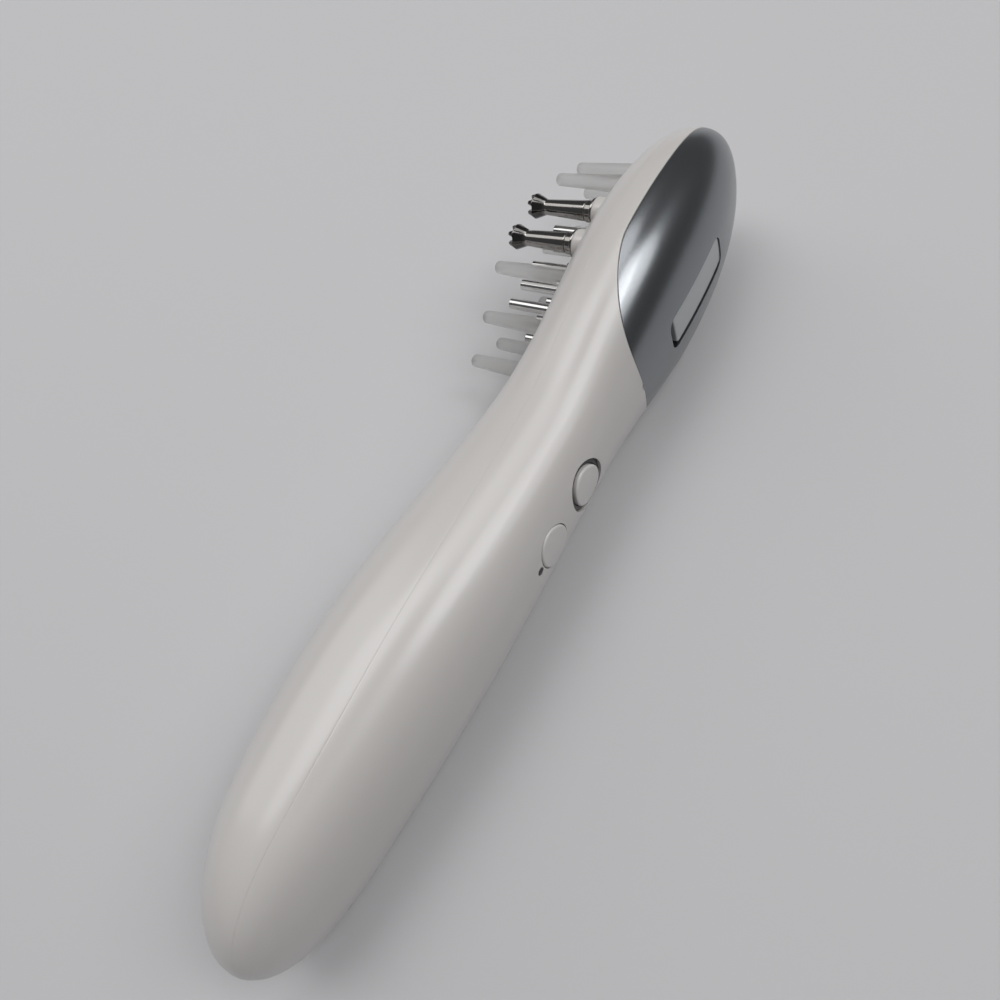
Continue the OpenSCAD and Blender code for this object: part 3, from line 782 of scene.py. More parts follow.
def carve(target: bpy.types.Object, cutter: bpy.types.Object) -> bpy.types.Object:
    """Cuts one closed piece out of another, and takes the cutter away.

    Args:
        target: the piece that is cut.
        cutter: the piece that cuts, whose parts don't touch each other.

    Returns:
        The cut piece, under the same name.
    """
    name = target.name
    cut = target.modifiers.new("cut", "BOOLEAN")
    cut.operation, cut.solver, cut.object = "DIFFERENCE", "MANIFOLD", cutter
    bpy.context.view_layer.update()
    ready = target.evaluated_get(bpy.context.evaluated_depsgraph_get())
    mesh = bpy.data.meshes.new_from_object(ready)
    for old in (target, cutter):
        bpy.data.objects.remove(old)
    return finish_mesh(name, mesh)


def joined(name: str, parts: list[bpy.types.Object]) -> bpy.types.Object:
    """Several pieces as one mesh.

    Args:
        name: the new piece's name.
        parts: the pieces, which are taken away.

    Returns:
        The new piece.
    """
    bm = bmesh.new()
    for part in parts:
        bm.from_mesh(part.data)
        bpy.data.objects.remove(part)
    mesh = bpy.data.meshes.new(name)
    bm.to_mesh(mesh)
    bm.free()
    return finish_mesh(name, mesh)


@dataclass(frozen=True)
class Panel:
    """A wall of the comb between two edges, each a level of x along the comb.

    A row of the surface is a closed loop at one place: the outer skin from the upper edge
    to the lower one, with its two borders rounded, the lower rim, the inner skin back, and
    the upper rim. Only the half with z >= 0 is worked out, and it is then mirrored.
    """

    start: float
    end: float
    low_edge: Edge | None
    high_edge: Edge | None
    low_rim: float = 0.035
    high_rim: float = 0.035
    wall: float = 2.3
    least: float = 0.001  # under which a point lies on the middle plane
    rows: int = 210
    outer_points: int = 60
    inner_points: int = 30
    border_points: int = 6
    rim_shares: tuple[float, ...] = (0.5, 0.9, 0.98)  # of the way across a rim
    samples: int = 40001  # places tried for the rows
    length_step: float = 1.5
    angle_step: float = 0.02
    size_step: float = 0.6
    opening_cost: float = 4.0
    nudge: float = 1e-4  # the angle over which the skin's slope is taken
    least_slope: float = 0.5
    fade_angle: float = 0.5  # from the middle plane, within which a border fades
    border_share: float = 0.3  # the most of the skin's width that a border takes
    least_speed: float = 1e-6

    def _angles(self, y: Array, inset: float) -> tuple[Array, Array]:
        """The polar angles of the upper and the lower edge.

        Args:
            y: places along the comb.
            inset: how far inside the outer surface.

        Returns:
            The upper edge's angles, 0 where there is none, and the lower edge's, or pi.
        """
        at = FORM.shifted(y, inset)
        high, low = 0.0 * y, 0.0 * y + math.pi
        if self.high_edge is not None:
            high = FORM.angle_at(y, self.high_edge(at), inset)
        if self.low_edge is not None:
            low = FORM.angle_at(y, self.low_edge(at), inset)
        return high, low

    def places(self) -> Array:
        """Rows at equal steps of a cost that grows with every change of the loop's form.

        The cost is the sum of each measure's change over that measure's step. Where an
        edge leaves the middle plane it jumps, so that rows stand close there.

        Returns:
            The rows' places along the comb.
        """
        y = self.start + (self.end - self.start) * np.linspace(0.0, 1.0, self.samples)
        high, low = self._angles(y, 0.0)
        terms = [y / self.length_step, high / self.angle_step, low / self.angle_step]
        terms += [FORM.half_thick(y) / self.size_step, FORM.half_wide(y) / self.size_step]
        terms += [self.opening_cost * (high > 0.0), self.opening_cost * (low < math.pi)]
        changes = sum(np.abs(np.diff(term)) for term in terms)
        cost = np.concatenate([[0.0], np.cumsum(changes)])
        return np.interp(np.linspace(0.0, cost[-1], self.rows), cost, y)

    def _border(
        self, y: Array, edge: Array, inward: float, rim: float, room: Array
    ) -> tuple[Array, Array]:
        """The rounding of the outer skin at one edge.

        It moves a point at distance r(1 - sin a) from the edge inwards across the comb by
        r(1 - cos a), over the slope of the skin there. It fades where the border comes to
        the middle plane, because there it runs straight across.

        Args:
            y: places along the comb, as a column.
            edge: the edge's angles.
            inward: 1 if the skin lies at larger angles than the edge, or -1.
            rim: the rounding's radius.
            room: the angle between the two edges.

        Returns:
            The angles where the rounding ends on the skin, and its points from the skin
            to the edge.
        """
        bend = quarter(self.border_points)[None, :]
        ahead, behind = FORM.point(y, edge + self.nudge), FORM.point(y, edge - self.nudge)
        rate = (ahead - behind) / (2 * self.nudge)
        speed = np.linalg.norm(rate, axis=-1)
        slope = np.clip(np.abs(rate[..., 0]) / np.maximum(speed, TINY), self.least_slope, 1.0)
        fade = ease(np.minimum(edge, math.pi - edge) / self.fade_angle)
        radius = fade * np.minimum(rim, self.border_share * speed * room)
        swing = radius * (1 - np.sin(bend)) / np.maximum(speed, self.least_speed)
        angle = edge + inward * swing
        points = FORM.point(y, np.clip(angle, 0.0, math.pi))
        points[..., 2] = np.maximum(points[..., 2] - radius * (1 - np.cos(bend)) / slope, 0.0)
        return angle[:, :1], points

    def _skin(self, y: Array) -> Array:
        """The outer skin with rounded borders.

        Args:
            y: the rows' places along the comb.

        Returns:
            The points (row, point, 3) from the upper edge to the lower one.
        """
        high, low = (edge[:, None] for edge in self._angles(y, 0.0))
        at = y[:, None]
        first, upper = self._border(at, high, 1.0, self.high_rim, low - high)
        last, lower = self._border(at, low, -1.0, self.low_rim, low - high)
        t = np.linspace(0.0, 1.0, self.outer_points)[None, 1:-1]
        middle = FORM.point(at, first + (last - first) * t)
        return np.concatenate([upper[:, ::-1], middle, lower], 1)

    def loop(self, y: Array) -> Array:
        """The loops of all rows.

        Where the outer skin's border is off the middle plane the inner one is kept off it
        too, by a hair, so that the two halves meet only where the wall is whole. A rim runs
        level from the outer border and turns to the inner one at its end.

        Args:
            y: the rows' places along the comb.

        Returns:
            The points (row, point, 3).
        """
        outer = self._skin(y)
        high, low = (edge[:, None] for edge in self._angles(y, self.wall))
        t = np.linspace(1.0, 0.0, self.inner_points)[None, :]
        inner = FORM.point(y[:, None], high + (low - high) * t, self.wall)
        for points in (outer, inner):
            if self.high_edge is not None:
                points[..., 0] = np.minimum(points[..., 0], self.high_edge(points[..., 1]))
            if self.low_edge is not None:
                points[..., 0] = np.maximum(points[..., 0], self.low_edge(points[..., 1]))
        for end, border in ((0, outer[:, -1, 2]), (-1, outer[:, 0, 2])):
            kept = np.maximum(inner[:, end, 2], 2.0 * self.least)
            inner[:, end, 2] = np.where(border > self.least, kept, 0.0)
        s = np.array(self.rim_shares)[None, :, None]
        lower_rim = outer[:, -1:] * (1 - s) + inner[:, :1] * s
        upper_rim = (outer[:, :1] * (1 - s) + inner[:, -1:] * s)[:, ::-1]
        lower_rim[..., 0], upper_rim[..., 0] = outer[:, -1:, 0], outer[:, :1, 0]
        return np.concatenate([outer, lower_rim, inner, upper_rim], 1)

    def piece(self, name: str) -> bpy.types.Object:
        """The panel as a closed mesh: both halves, without the faces on the middle plane.

        Args:
            name: the piece's name.

        Returns:
            The panel.
        """
        points = self.loop(self.places())
        points[[0, -1], :, 2] = 0.0
        rows, columns = points.shape[:2]
        flat = points.reshape(-1, 3)
        flat[np.abs(flat[:, 2]) < self.least, 2] = 0.0
        faces = grid_faces(rows, columns)
        faces = faces[np.any(flat[faces][..., 2] > 0.0, 1)]
        mirrored = flat * np.array([1.0, 1.0, -1.0])
        both = np.concatenate([faces, faces[:, ::-1] + len(flat)])
        return make_piece(name, np.concatenate([flat, mirrored]), both)


# ---------------------------------------------------------------- the comb's assemblies


def dress(piece: bpy.types.Object, finish: Finish, rider: Rider, *nodes: str) -> None:
    """Gives a piece its finish, its body and the CAD nodes that it stands for.

    Args:
        piece: the piece.
        finish: its finish.
        rider: the body it moves with.
        nodes: CAD nodes that it replaces.
    """
    piece.data.materials.clear()
    piece.data.materials.append(finish.make())
    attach(piece, rider.value)
    if nodes:
        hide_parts(*nodes)
    LOG.info("%s: %d faces, %s", piece.name, len(piece.data.polygons), finish.name)


@dataclass(frozen=True)
class Layout:
    """Places and sizes that several assemblies share, as the CAD model has them.

    The ring's places are along, from the face's middle, and across.
    """

    face_y: float = 169.0
    tip_x: float = -32.05
    seat_x: float = -7.2
    board_x: float = -4.6
    fit: float = 0.1
    power_y: float = 112.5
    mode_y: float = 97.0
    lamp_y: float = 90.73
    lamp_r: float = 1.0
    power_r: float = 4.7
    ring_wide: float = 1.3
    mode_r: float = 4.8
    mode_gap: float = 0.22
    run_gap: float = 0.2
    slot_y0: float = 154.0
    slot_len: float = 29.5
    slot_half: float = 4.6
    slot_corner: float = 2.8
    seam_x: float = -2.0
    tooth_r: float = 2.2
    tooth_tip_r: float = 1.6
    barrel_r: float = 1.4
    bush_r: float = 3.6
    screw_r: float = 2.5
    screw_ys: Pair = (14.0, 127.0)
    jack_y: float = 30.0
    jack_nose_r: float = 3.2
    ring: tuple[Pair, ...] = (
        (-32.0, 0.0), (-22.0, 5.2), (-11.0, 11.2), (-1.2, 12.0), (9.7, 12.0), (23.0, 9.0),
        (33.0, 4.1),
    )
    crown_run: tuple[int, int] = (3, 5)  # the ring's places that hold crown contacts
    barrels_in_row: int = 5
    barrel_first: float = 151.3
    barrel_pitch: float = 6.3
    barrel_z: float = 6.6

    def crowns(self) -> list[Pair]:
        """Places of the crown contacts."""
        first, past = self.crown_run
        return [(self.face_y + s, z) for s, z in self.ring[first:past]]

    def teeth(self) -> list[Pair]:
        """Places of the clear teeth: the near side, then the far side.

        Returns:
            The place at the handle's end, on the middle plane, and the others on each side.
        """
        first, past = self.crown_run
        near = (*self.ring[:first], *self.ring[past:])
        far = [(s, -z) for s, z in self.ring[1:]]
        return [(self.face_y + s, z) for s, z in (*near, *far)]

    def barrels(self) -> list[Pair]:
        """Places of the laser barrels, row by row."""
        ys = [self.barrel_first + i * self.barrel_pitch for i in range(self.barrels_in_row)]
        return [(y, side * self.barrel_z) for side in (1, -1) for y in ys]

    def flange_x(self) -> float:
        """Where the flanges of teeth and barrels start, under their seat."""
        return self.seat_x + self.fit / 2.0


LAYOUT = Layout()


@dataclass(frozen=True)
class Casing:
    """The two white shells and the silver head cover."""

    cover_start: float = 140.0
    cover_sweep: float = 24.0
    cover_top: float = 14.0
    cover_low: float = 3.2
    cover_power: float = 1.45
    cover_fall: float = 2.2
    fall_start: float = 180.0
    seam_gap: float = 0.012
    cover_gap: float = 0.1
    cover_rim: float = 0.14
    shell_rows: int = 250
    cover_rows: int = 190
    cover_points: int = 90
    butt_search: Pair = (0.02, 10.0)  # where the seam is looked for at the butt
    crest_search: float = 9.0  # how far past its start the cover is looked for
    tip_search: float = 1.0
    tip_end: float = 0.1
    cut_reach: float = 60.0  # how far cutters reach out of the comb
    cut_past_seat: float = 2.0
    hole_sides: int = 72
    slot_floor: float = 9.0
    slot_edge_r: float = 0.05

    def cover_edge(self, y: Array, gap: float = 0.0) -> Array:
        """The level of the cover's edge along the comb.

        From the cover's start the level falls as top - depth (1 - u^p)^(1/p), where u goes
        from 1 at the start to 0 where the sweep ends. It stays at its low value from there,
        and falls a little more, by a square law, towards the tip.

        Args:
            y: places along the comb.
            gap: how far the edge stands off the cover.

        Returns:
            The edge's x.
        """
        depth = self.cover_top - self.cover_low + gap
        u = (self.cover_start + self.cover_sweep - y) / (self.cover_sweep + gap)
        held = np.clip(u, 0.0, 1.0)
        late = np.clip((y - self.fall_start) / (FORM.length - self.fall_start), 0.0, 1.0)
        round_off = (1.0 - held**self.cover_power) ** (1.0 / self.cover_power)
        return self.cover_top - depth * round_off - self.cover_fall * late**2

    def shell_edge(self, y: Array) -> Array:
        """The level of the back shell's edge, a gap below the cover's."""
        return self.cover_edge(y, self.cover_gap)

    def seam(self, side: Side) -> Edge:
        """The parting line of the shells, half the gap to one side."""
        return lambda y: LAYOUT.seam_x + side.value * self.seam_gap / 2.0 + 0.0 * y

    def crossing(
        self, level: Edge, side: Side, start: float, end: float, samples: int = 20001
    ) -> float:
        """The place between two others where the back or the face passes an edge's level.

        Args:
            level: the edge.
            side: the back or the face.
            start: the first place.
            end: the last place.
            samples: how many places are tried.

        Returns:
            The place where the surface on the middle plane is nearest to the level.
        """
        y = np.linspace(start, end, samples)
        height = FORM.centre(y) + side.value * FORM.half_thick(y)
        return float(y[np.argmin(np.abs(height - level(y)))])

    def hole(self, spot: Pair, r: float, low: float, high: float) -> bpy.types.Object:
        """A round bar that cuts a hole."""
        profile = np.array([(0.0, low), (r, low), (r, high), (0.0, high)])
        return turned_piece("hole", profile, spot, self.hole_sides)

    def front_shell(self) -> bpy.types.Object:
        """The teeth side, with holes for teeth, barrels, bushes, screws and the jack.

        Returns:
            The shell.
        """
        edge = self.seam(Side.FACE)
        end = self.crossing(edge, Side.FACE, LAYOUT.face_y, FORM.length - self.tip_end)
        shell = Panel(0.0, end, None, edge, rows=self.shell_rows).piece("front_shell_skin")
        spots = [(spot, LAYOUT.tooth_r + LAYOUT.fit) for spot in LAYOUT.teeth()]
        spots += [(spot, LAYOUT.barrel_r + LAYOUT.fit) for spot in LAYOUT.barrels()]
        spots += [(spot, LAYOUT.bush_r + LAYOUT.fit) for spot in LAYOUT.crowns()]
        spots += [((y, 0.0), LAYOUT.screw_r) for y in LAYOUT.screw_ys]
        spots += [((LAYOUT.jack_y, 0.0), LAYOUT.jack_nose_r + LAYOUT.fit)]
        top = LAYOUT.seat_x + self.cut_past_seat
        holes = [self.hole(spot, r, -self.cut_reach, top) for spot, r in spots]
        return carve(shell, joined("front_holes", holes))

    def back_shell(self) -> bpy.types.Object:
        """The button side, open under the head cover.

        Returns:
            The shell.
        """
        seam = self.seam(Side.BACK)
        start = self.crossing(seam, Side.BACK, *self.butt_search)
        shell = Panel(
            start, FORM.length, seam, self.shell_edge, high_rim=self.cover_rim,
            rows=self.shell_rows,
        ).piece("back_shell_skin")
        places = (
            (LAYOUT.power_y, LAYOUT.power_r + LAYOUT.ring_wide + LAYOUT.fit),
            (LAYOUT.mode_y, LAYOUT.mode_r + LAYOUT.mode_gap),
            (LAYOUT.lamp_y, LAYOUT.lamp_r),
        )
        holes = [self.hole((y, 0.0), r, 0.0, self.cut_reach) for y, r in places]
        return carve(shell, joined("back_holes", holes))

    def head_cover(self) -> bpy.types.Object:
        """The silver cover with the slider's slot.

        Returns:
            The cover.
        """
        crest = (self.cover_start, self.cover_start + self.crest_search)
        start = self.crossing(self.cover_edge, Side.BACK, *crest)
        tip = (FORM.length - self.tip_search, FORM.length)
        end = self.crossing(self.cover_edge, Side.BACK, *tip)
        cover = Panel(
            start, end, self.cover_edge, None, low_rim=self.cover_rim, rows=self.cover_rows,
            outer_points=self.cover_points,
        ).piece("head_cover_skin")
        half = (LAYOUT.slot_len / 2.0, LAYOUT.slot_half)
        slot = pad_piece(
            "slot_cutter", LAYOUT.slot_y0 + half[0], half, LAYOUT.slot_corner,
            self.slot_edge_r, lambda y, z: self.cut_reach + 0.0 * y, self.slot_floor,
        )
        return carve(cover, slot)

    def build(self) -> None:
        """Builds and dresses the casing."""
        dress(self.front_shell(), SHELL_WHITE, Rider.CASING, "front_shell")
        dress(self.back_shell(), SHELL_WHITE, Rider.CASING, "back_shell")
        dress(self.head_cover(), COVER_SILVER, Rider.CASING, "head_cover")


@dataclass(frozen=True)
class Buttons:
    """Both push buttons, the dark ring and the lamp's lens."""

    stem_r: float = 1.7
    stem_top: float = 5.5
    flange_thick: float = 0.8
    power_flange: float = 6.4
    mode_flange: float = 6.9
    rim_r: float = 0.45
    rim_points: int = 8
    cap_rise: float = 0.3
    ring_sink: float = 0.55
    flange_lip: float = 0.3
    ring_lip: float = 1.0
    lens_r: float = 0.95
    lens_foot: float = 2.4
    lens_sink: float = 0.05
    lens_sides: int = 32
    soft: float = 0.2
    full_lift: float = 1.0
    sides: int = 120

    def on_skin(self, name: str, profile: Array, y: float, foot: float) -> bpy.types.Object:
        """A turned piece whose top follows the skin.

        Each point over the foot is lifted by the skin's rise there over the skin at the
        axis, times its share of the way from the foot to a little below the skin.

        Args:
            name: the piece's name.
            profile: radius and x of each point.
            y: the axis' place along the comb.
            foot: the height below which nothing is lifted.

        Returns:
            The piece.
        """
        points = turned_points(profile, (y, 0.0), self.sides)
        middle = FORM.crest(y)
        rise = FORM.back(points[..., 1], points[..., 2]) - middle
        share = np.clip((points[..., 0] - foot) / (middle - self.full_lift - foot), 0.0, 1.0)
        points[..., 0] += rise * share
        return make_piece(name, points, grid_faces(len(profile), self.sides))

    def cap(
        self, name: str, y: float, r: float, flange: float, flange_r: float
    ) -> bpy.types.Object:
        """A cap just proud of the skin, with a rounded rim, a skirt, a flange and a boss.

        Args:
            name: the piece's name.
            y: the axis' place along the comb.
            r: the cap's radius.
            flange: the height of the flange's underside.
            flange_r: the flange's radius.

        Returns:
            The cap.
        """
        top = FORM.crest(y) + self.cap_rise
        skirt_foot = flange + self.flange_thick
        lower = softened(
            [
                (0.0, self.stem_top), (self.stem_r, self.stem_top), (self.stem_r, flange),
                (flange_r, flange), (flange_r, skirt_foot), (r, skirt_foot),
                (r, top - 2.0 * self.rim_r),
            ],
            self.soft,
        )
        bend, count = quarter(self.rim_points), self.rim_points
        out, up = r - self.rim_r * (1 - np.cos(bend)), top - self.rim_r * (1 - np.sin(bend))
        rim = np.stack([out, up], -1)
        flat = np.stack([np.linspace(r - self.rim_r, 0.0, count + 1)[1:], np.full(count, top)], -1)
        return self.on_skin(name, np.concatenate([lower, rim, flat]), y, skirt_foot)

    def ring(self) -> bpy.types.Object:
        """The dark ring round the power button, with a lip under the shell.

        Returns:
            The ring.
        """
        foot = self.power_flange + self.flange_thick + LAYOUT.fit
        top = FORM.crest(LAYOUT.power_y) - self.ring_sink
        inner, outer = LAYOUT.power_r + LAYOUT.run_gap, LAYOUT.power_r + LAYOUT.ring_wide
        lip, lip_top = outer + self.ring_lip, foot + self.flange_thick
        profile = closed_profile(
            [
                (inner, foot), (lip, foot), (lip, lip_top), (outer, lip_top), (outer, top),
                (inner, top),
            ],
            self.soft,
        )
        return self.on_skin("power_ring", profile, LAYOUT.power_y, lip_top)

    def lens(self) -> bpy.types.Object:
        """The indicator lamp's lens, a short rod.

        Returns:
            The lens.
        """
        r, foot, top = self.lens_r, self.lens_foot, FORM.crest(LAYOUT.lamp_y) - self.lens_sink
        profile = softened([(0.0, foot), (r, foot), (r, top), (0.0, top)], self.soft)
        return turned_piece("lamp_lens", profile, (LAYOUT.lamp_y, 0.0), self.lens_sides)

    def build(self) -> None:
        """Builds and dresses the buttons, the ring and the lens."""
        power_flange_r = LAYOUT.power_r + LAYOUT.ring_wide
        power = self.cap(
            "power_button_cap", LAYOUT.power_y, LAYOUT.power_r, self.power_flange, power_flange_r
        )
        dress(power, BUTTON_WHITE, Rider.POWER, "power_button")
        mode_flange_r = LAYOUT.mode_r + LAYOUT.mode_gap + self.flange_lip
        mode = self.cap(
            "mode_button_cap", LAYOUT.mode_y, LAYOUT.mode_r, self.mode_flange, mode_flange_r
        )
        dress(mode, BUTTON_WHITE, Rider.MODE, "mode_button")
        dress(self.ring(), RING_DARK, Rider.CASING, "button_ring")
        dress(self.lens(), DARK_PLASTIC_AND_SHADE, Rider.CASING, "light_pipe")


@dataclass(frozen=True)
class SlideSwitch:
    """The slider's bar and its guide plate."""

    length: float = 27.0
    side_gap: float = 0.6
    corner: float = 1.0
    edge_r: float = 0.35
    sink: float = 0.3
    bar_overlap: float = 0.05
    plate_x: float = 10.9
    plate_thick: float = 0.8
    plate_lip: float = 1.6
    plate_over: float = 4.0
    plate_corner: float = 0.6
    plate_edge_r: float = 0.1

    def build(self) -> None:
        """Builds and dresses the slider: the bar follows the cover's skin, a little sunk."""
        start = LAYOUT.slot_y0 + LAYOUT.slot_len - self.length - LAYOUT.run_gap
        half = (self.length / 2.0, LAYOUT.slot_half - self.side_gap)
        floor = self.plate_x + self.plate_thick
        bar = pad_piece(
            "slider_bar", start + half[0], half, self.corner, self.edge_r,
            lambda y, z: FORM.back(y, z, self.sink), floor - self.bar_overlap,
        )
        dress(bar, SLIDER_GREY, Rider.SLIDER, "slider")
        end = start + self.length + self.plate_over
        middle = (LAYOUT.slot_y0 + end) / 2.0
        plate_half = ((end - LAYOUT.slot_y0) / 2.0, LAYOUT.slot_half + self.plate_lip)
        plate = pad_piece(
            "slider_plate", middle, plate_half, self.plate_corner, self.plate_edge_r,
            lambda y, z: floor + 0.0 * y, self.plate_x,
        )
        # The guide plate is dressed dark: painted shade in the recess under the slot.
        dress(plate, DARK_PLASTIC_AND_SHADE, Rider.SLIDER, "slider")


@dataclass(frozen=True)
class CombFace:
    """Clear teeth, laser barrels, and the crown contacts in their bushes."""

    tooth_root_x: float = -14.0
    tooth_foot_x: float = -5.8
    tooth_nose: float = 0.7
    nose_points: int = 9
    tooth_soft: float = 0.15
    barrel_short: float = 6.4
    barrel_foot_x: float = -6.7
    barrel_soft: float = 0.14
    bore_r: float = 0.75
    bore_deep: float = 1.2
    flange_lip: float = 0.3
    slim_sides: int = 48
    bush_proud: float = 1.3
    bush_over: float = 0.15
    bush_chamfer: Pair = (0.3, 0.5)  # inwards and down
    bush_soft: float = 0.25
    bush_sides: int = 72
    pin_r: float = 1.4
    pin_gap: float = 0.02
    pin_short: float = 0.05
    crown_r: float = 3.1
    cup_deep: float = 2.4
    cup_mouth: float = 1.3
    cup_edge: Pair = (0.5, 1.4)  # in from the rim, and down from the tip
    cup_long: float = 4.6
    neck_r: float = 1.9
    cone_out: float = 0.6
    groove: Triple = (2.6, 2.5, 2.2)  # the cone's end, the groove's start and its end
    groove_deep: float = 0.3
    collar_out: float = 0.8
    base_thick: float = 0.6
    base_in: float = 0.3
    crown_soft: float = 0.18
    crown_steps: int = 5
    crown_sides: int = 180
    crown_crease: float = 30.0
    notches: int = 6
    notch_deep: float = 1.6
    notch_gain: float = 1.7
    notch_shift: float = 0.35
    cup_dark: float = 4.8

    def flanged(self, r: float, foot: float) -> list[Pair]:
        """The profile of a straight root that ends in a flange under the seat."""
        seat, wide = LAYOUT.flange_x(), r + self.flange_lip
        return [(r, seat), (wide, seat), (wide, foot), (0.0, foot)]

    def tooth(self, number: int, spot: Pair) -> bpy.types.Object:
        """A tapered light guide with a rounded tip, a straight root and a flange.

        Args:
            number: the tooth's number.
            spot: its place along and across.

        Returns:
            The tooth.
        """
        tip_r, root_r, tip = LAYOUT.tooth_tip_r, LAYOUT.tooth_r, LAYOUT.tip_x
        bend = quarter(self.nose_points)
        nose = tip_r * self.tooth_nose
        out, up = tip_r - nose + nose * np.sin(bend), tip + nose - nose * np.cos(bend)
        arc = np.stack([out, up], -1)
        root = [tuple(arc[-1]), (root_r, self.tooth_root_x)]
        body = softened([*root, *self.flanged(root_r, self.tooth_foot_x)], self.tooth_soft)
        profile = np.concatenate([[(0.0, tip)], arc[:-1], body])
        return turned_piece(f"clear_tooth_{number}_guide", profile, spot, self.slim_sides)

    def barrel(self, number: int, spot: Pair) -> bpy.types.Object:
        """A polished tube with a counterbored tip and a wider foot.

        Args:
            number: the barrel's number.
            spot: its place along and across.

        Returns:
            The barrel.
        """
        tip, r = LAYOUT.tip_x + self.barrel_short, LAYOUT.barrel_r
        deep = tip + self.bore_deep
        bore = [(0.0, deep), (self.bore_r, deep), (self.bore_r, tip), (r, tip)]
        profile = softened([*bore, *self.flanged(r, self.barrel_foot_x)], self.barrel_soft)
        return turned_piece(f"laser_barrel_{number}_tube", profile, spot, self.slim_sides)

    def foot(self, spot: Pair) -> float:
        """Where the contact's metal begins, proud of the face."""
        return FORM.face(*spot) - self.bush_proud

    def bush(self, number: int, spot: Pair) -> bpy.types.Object:
        """The white bush round a contact's foot, which stands in a recess of the shell.

        Args:
            number: the contact's number.
            spot: its place along and across.

        Returns:
            The bush.
        """
        foot, r, seat = self.foot(spot), LAYOUT.bush_r, LAYOUT.seat_x
        hole, stem = self.pin_r + self.pin_gap, LAYOUT.tooth_r
        floor = FORM.face(spot[0], abs(spot[1]) + LAYOUT.bush_r + LAYOUT.fit) + self.bush_over
        inward, down = self.bush_chamfer
        profile = closed_profile(
            [
                (hole, foot), (r - inward, foot), (r, foot + down), (r, floor), (stem, floor),
                (stem, seat), (hole, seat),
            ],
            self.bush_soft,
        )
        return turned_piece(f"contact_bush_{number}_collar", profile, spot, self.bush_sides)

    def crown_profile(self, foot: float) -> Array:
        """The crown contact's profile: the cup, a cone, a groove, a collar, a base, a pin.

        Args:
            foot: where the metal begins, proud of the face.

        Returns:
            Radius and x of each point, softened.
        """
        tip, r, pin_end = LAYOUT.tip_x, self.crown_r, LAYOUT.board_x - self.pin_short
        cone, collar = self.neck_r + self.cone_out, self.neck_r + self.collar_out
        slot, base = cone - self.groove_deep, LAYOUT.bush_r - self.base_in
        cone_end, groove_start, groove_end = (foot - below for below in self.groove)
        base_top, base_end = foot - self.base_thick, foot - self.pin_gap
        edge_in, edge_down = self.cup_edge
        return softened(
            [
                (0.0, tip + self.cup_deep), (r - self.cup_mouth, tip), (r - edge_in, tip),
                (r, tip + edge_down), (self.neck_r, tip + self.cup_long), (cone, cone_end),
                (slot, groove_start), (slot, groove_end), (collar, groove_end),
                (collar, base_top), (base, base_top), (base, base_end),
                (self.pin_r, base_end), (self.pin_r, pin_end), (0.0, pin_end),
            ],
            self.crown_soft, self.crown_steps,
        )

    def crown(self, number: int, spot: Pair) -> bpy.types.Object:
        """A crown contact, turned, with notches cut into its cup.

        The notches are a wave n(a) round the axis that rises from 0 on the points to 1 in
        the notches; a point of the cup between the tip and the notches' floor is drawn
        towards that floor by n times its distance from it.

        Args:
            number: the contact's number.
            spot: its place along and across.

        Returns:
            The contact.
        """
        profile = self.crown_profile(self.foot(spot))
        points = turned_points(profile, spot, self.crown_sides)
        angle = np.linspace(0.0, 2.0 * math.pi, self.crown_sides, endpoint=False)
        wave = np.abs((angle * self.notches / (2.0 * math.pi)) % 1.0 - 0.5) * 2.0
        notch = ease((1.0 - wave) * self.notch_gain - self.notch_shift)
        floor = LAYOUT.tip_x + self.notch_deep
        depth = np.clip(floor - points[..., 0], 0.0, None)
        points[..., 0] += depth * notch[None, :]
        faces = grid_faces(len(profile), self.crown_sides)
        return make_piece(f"crown_contact_{number}_pin", points, faces, self.crown_crease)

    def crown_metal(self) -> DarkerBelowLevel:
        """The contacts' metal, dark on the cups.

        Returns:
            The finish, with the cups' end as its level on the table.
        """
        way = POSE.turned()[:, 0]
        level = LAYOUT.tip_x + self.cup_dark + float(way @ np.array(POSE.shift))
        return DarkerBelowLevel(
            Slot.METAL, "crown_metal", (0.340, 0.325, 0.310), (0.322, 0.308, 0.294),
            tint_scale=300.0, roughness=0.11, swing=0.04, metallic=1.0, relief=0.01,
            way=tuple(float(v) for v in way), level=level / 1000.0,
        )

    def build(self) -> None:
        """Builds and dresses all that stands on the face of the head."""
        metal = self.crown_metal()
        for number, spot in enumerate(LAYOUT.teeth(), 1):
            tooth = self.tooth(number, spot)
            dress(tooth, CLEAR_PLASTIC, Rider.CASING, f"clear_tooth_{number}")
        for number, spot in enumerate(LAYOUT.barrels(), 1):
            barrel = self.barrel(number, spot)
            dress(barrel, POLISHED_METAL, Rider.CASING, f"laser_barrel_{number}")
        for number, spot in enumerate(LAYOUT.crowns(), 1):
            dress(self.crown(number, spot), metal, Rider.CASING, f"crown_contact_{number}")
            dress(self.bush(number, spot), SHELL_WHITE, Rider.CASING, f"contact_bush_{number}")


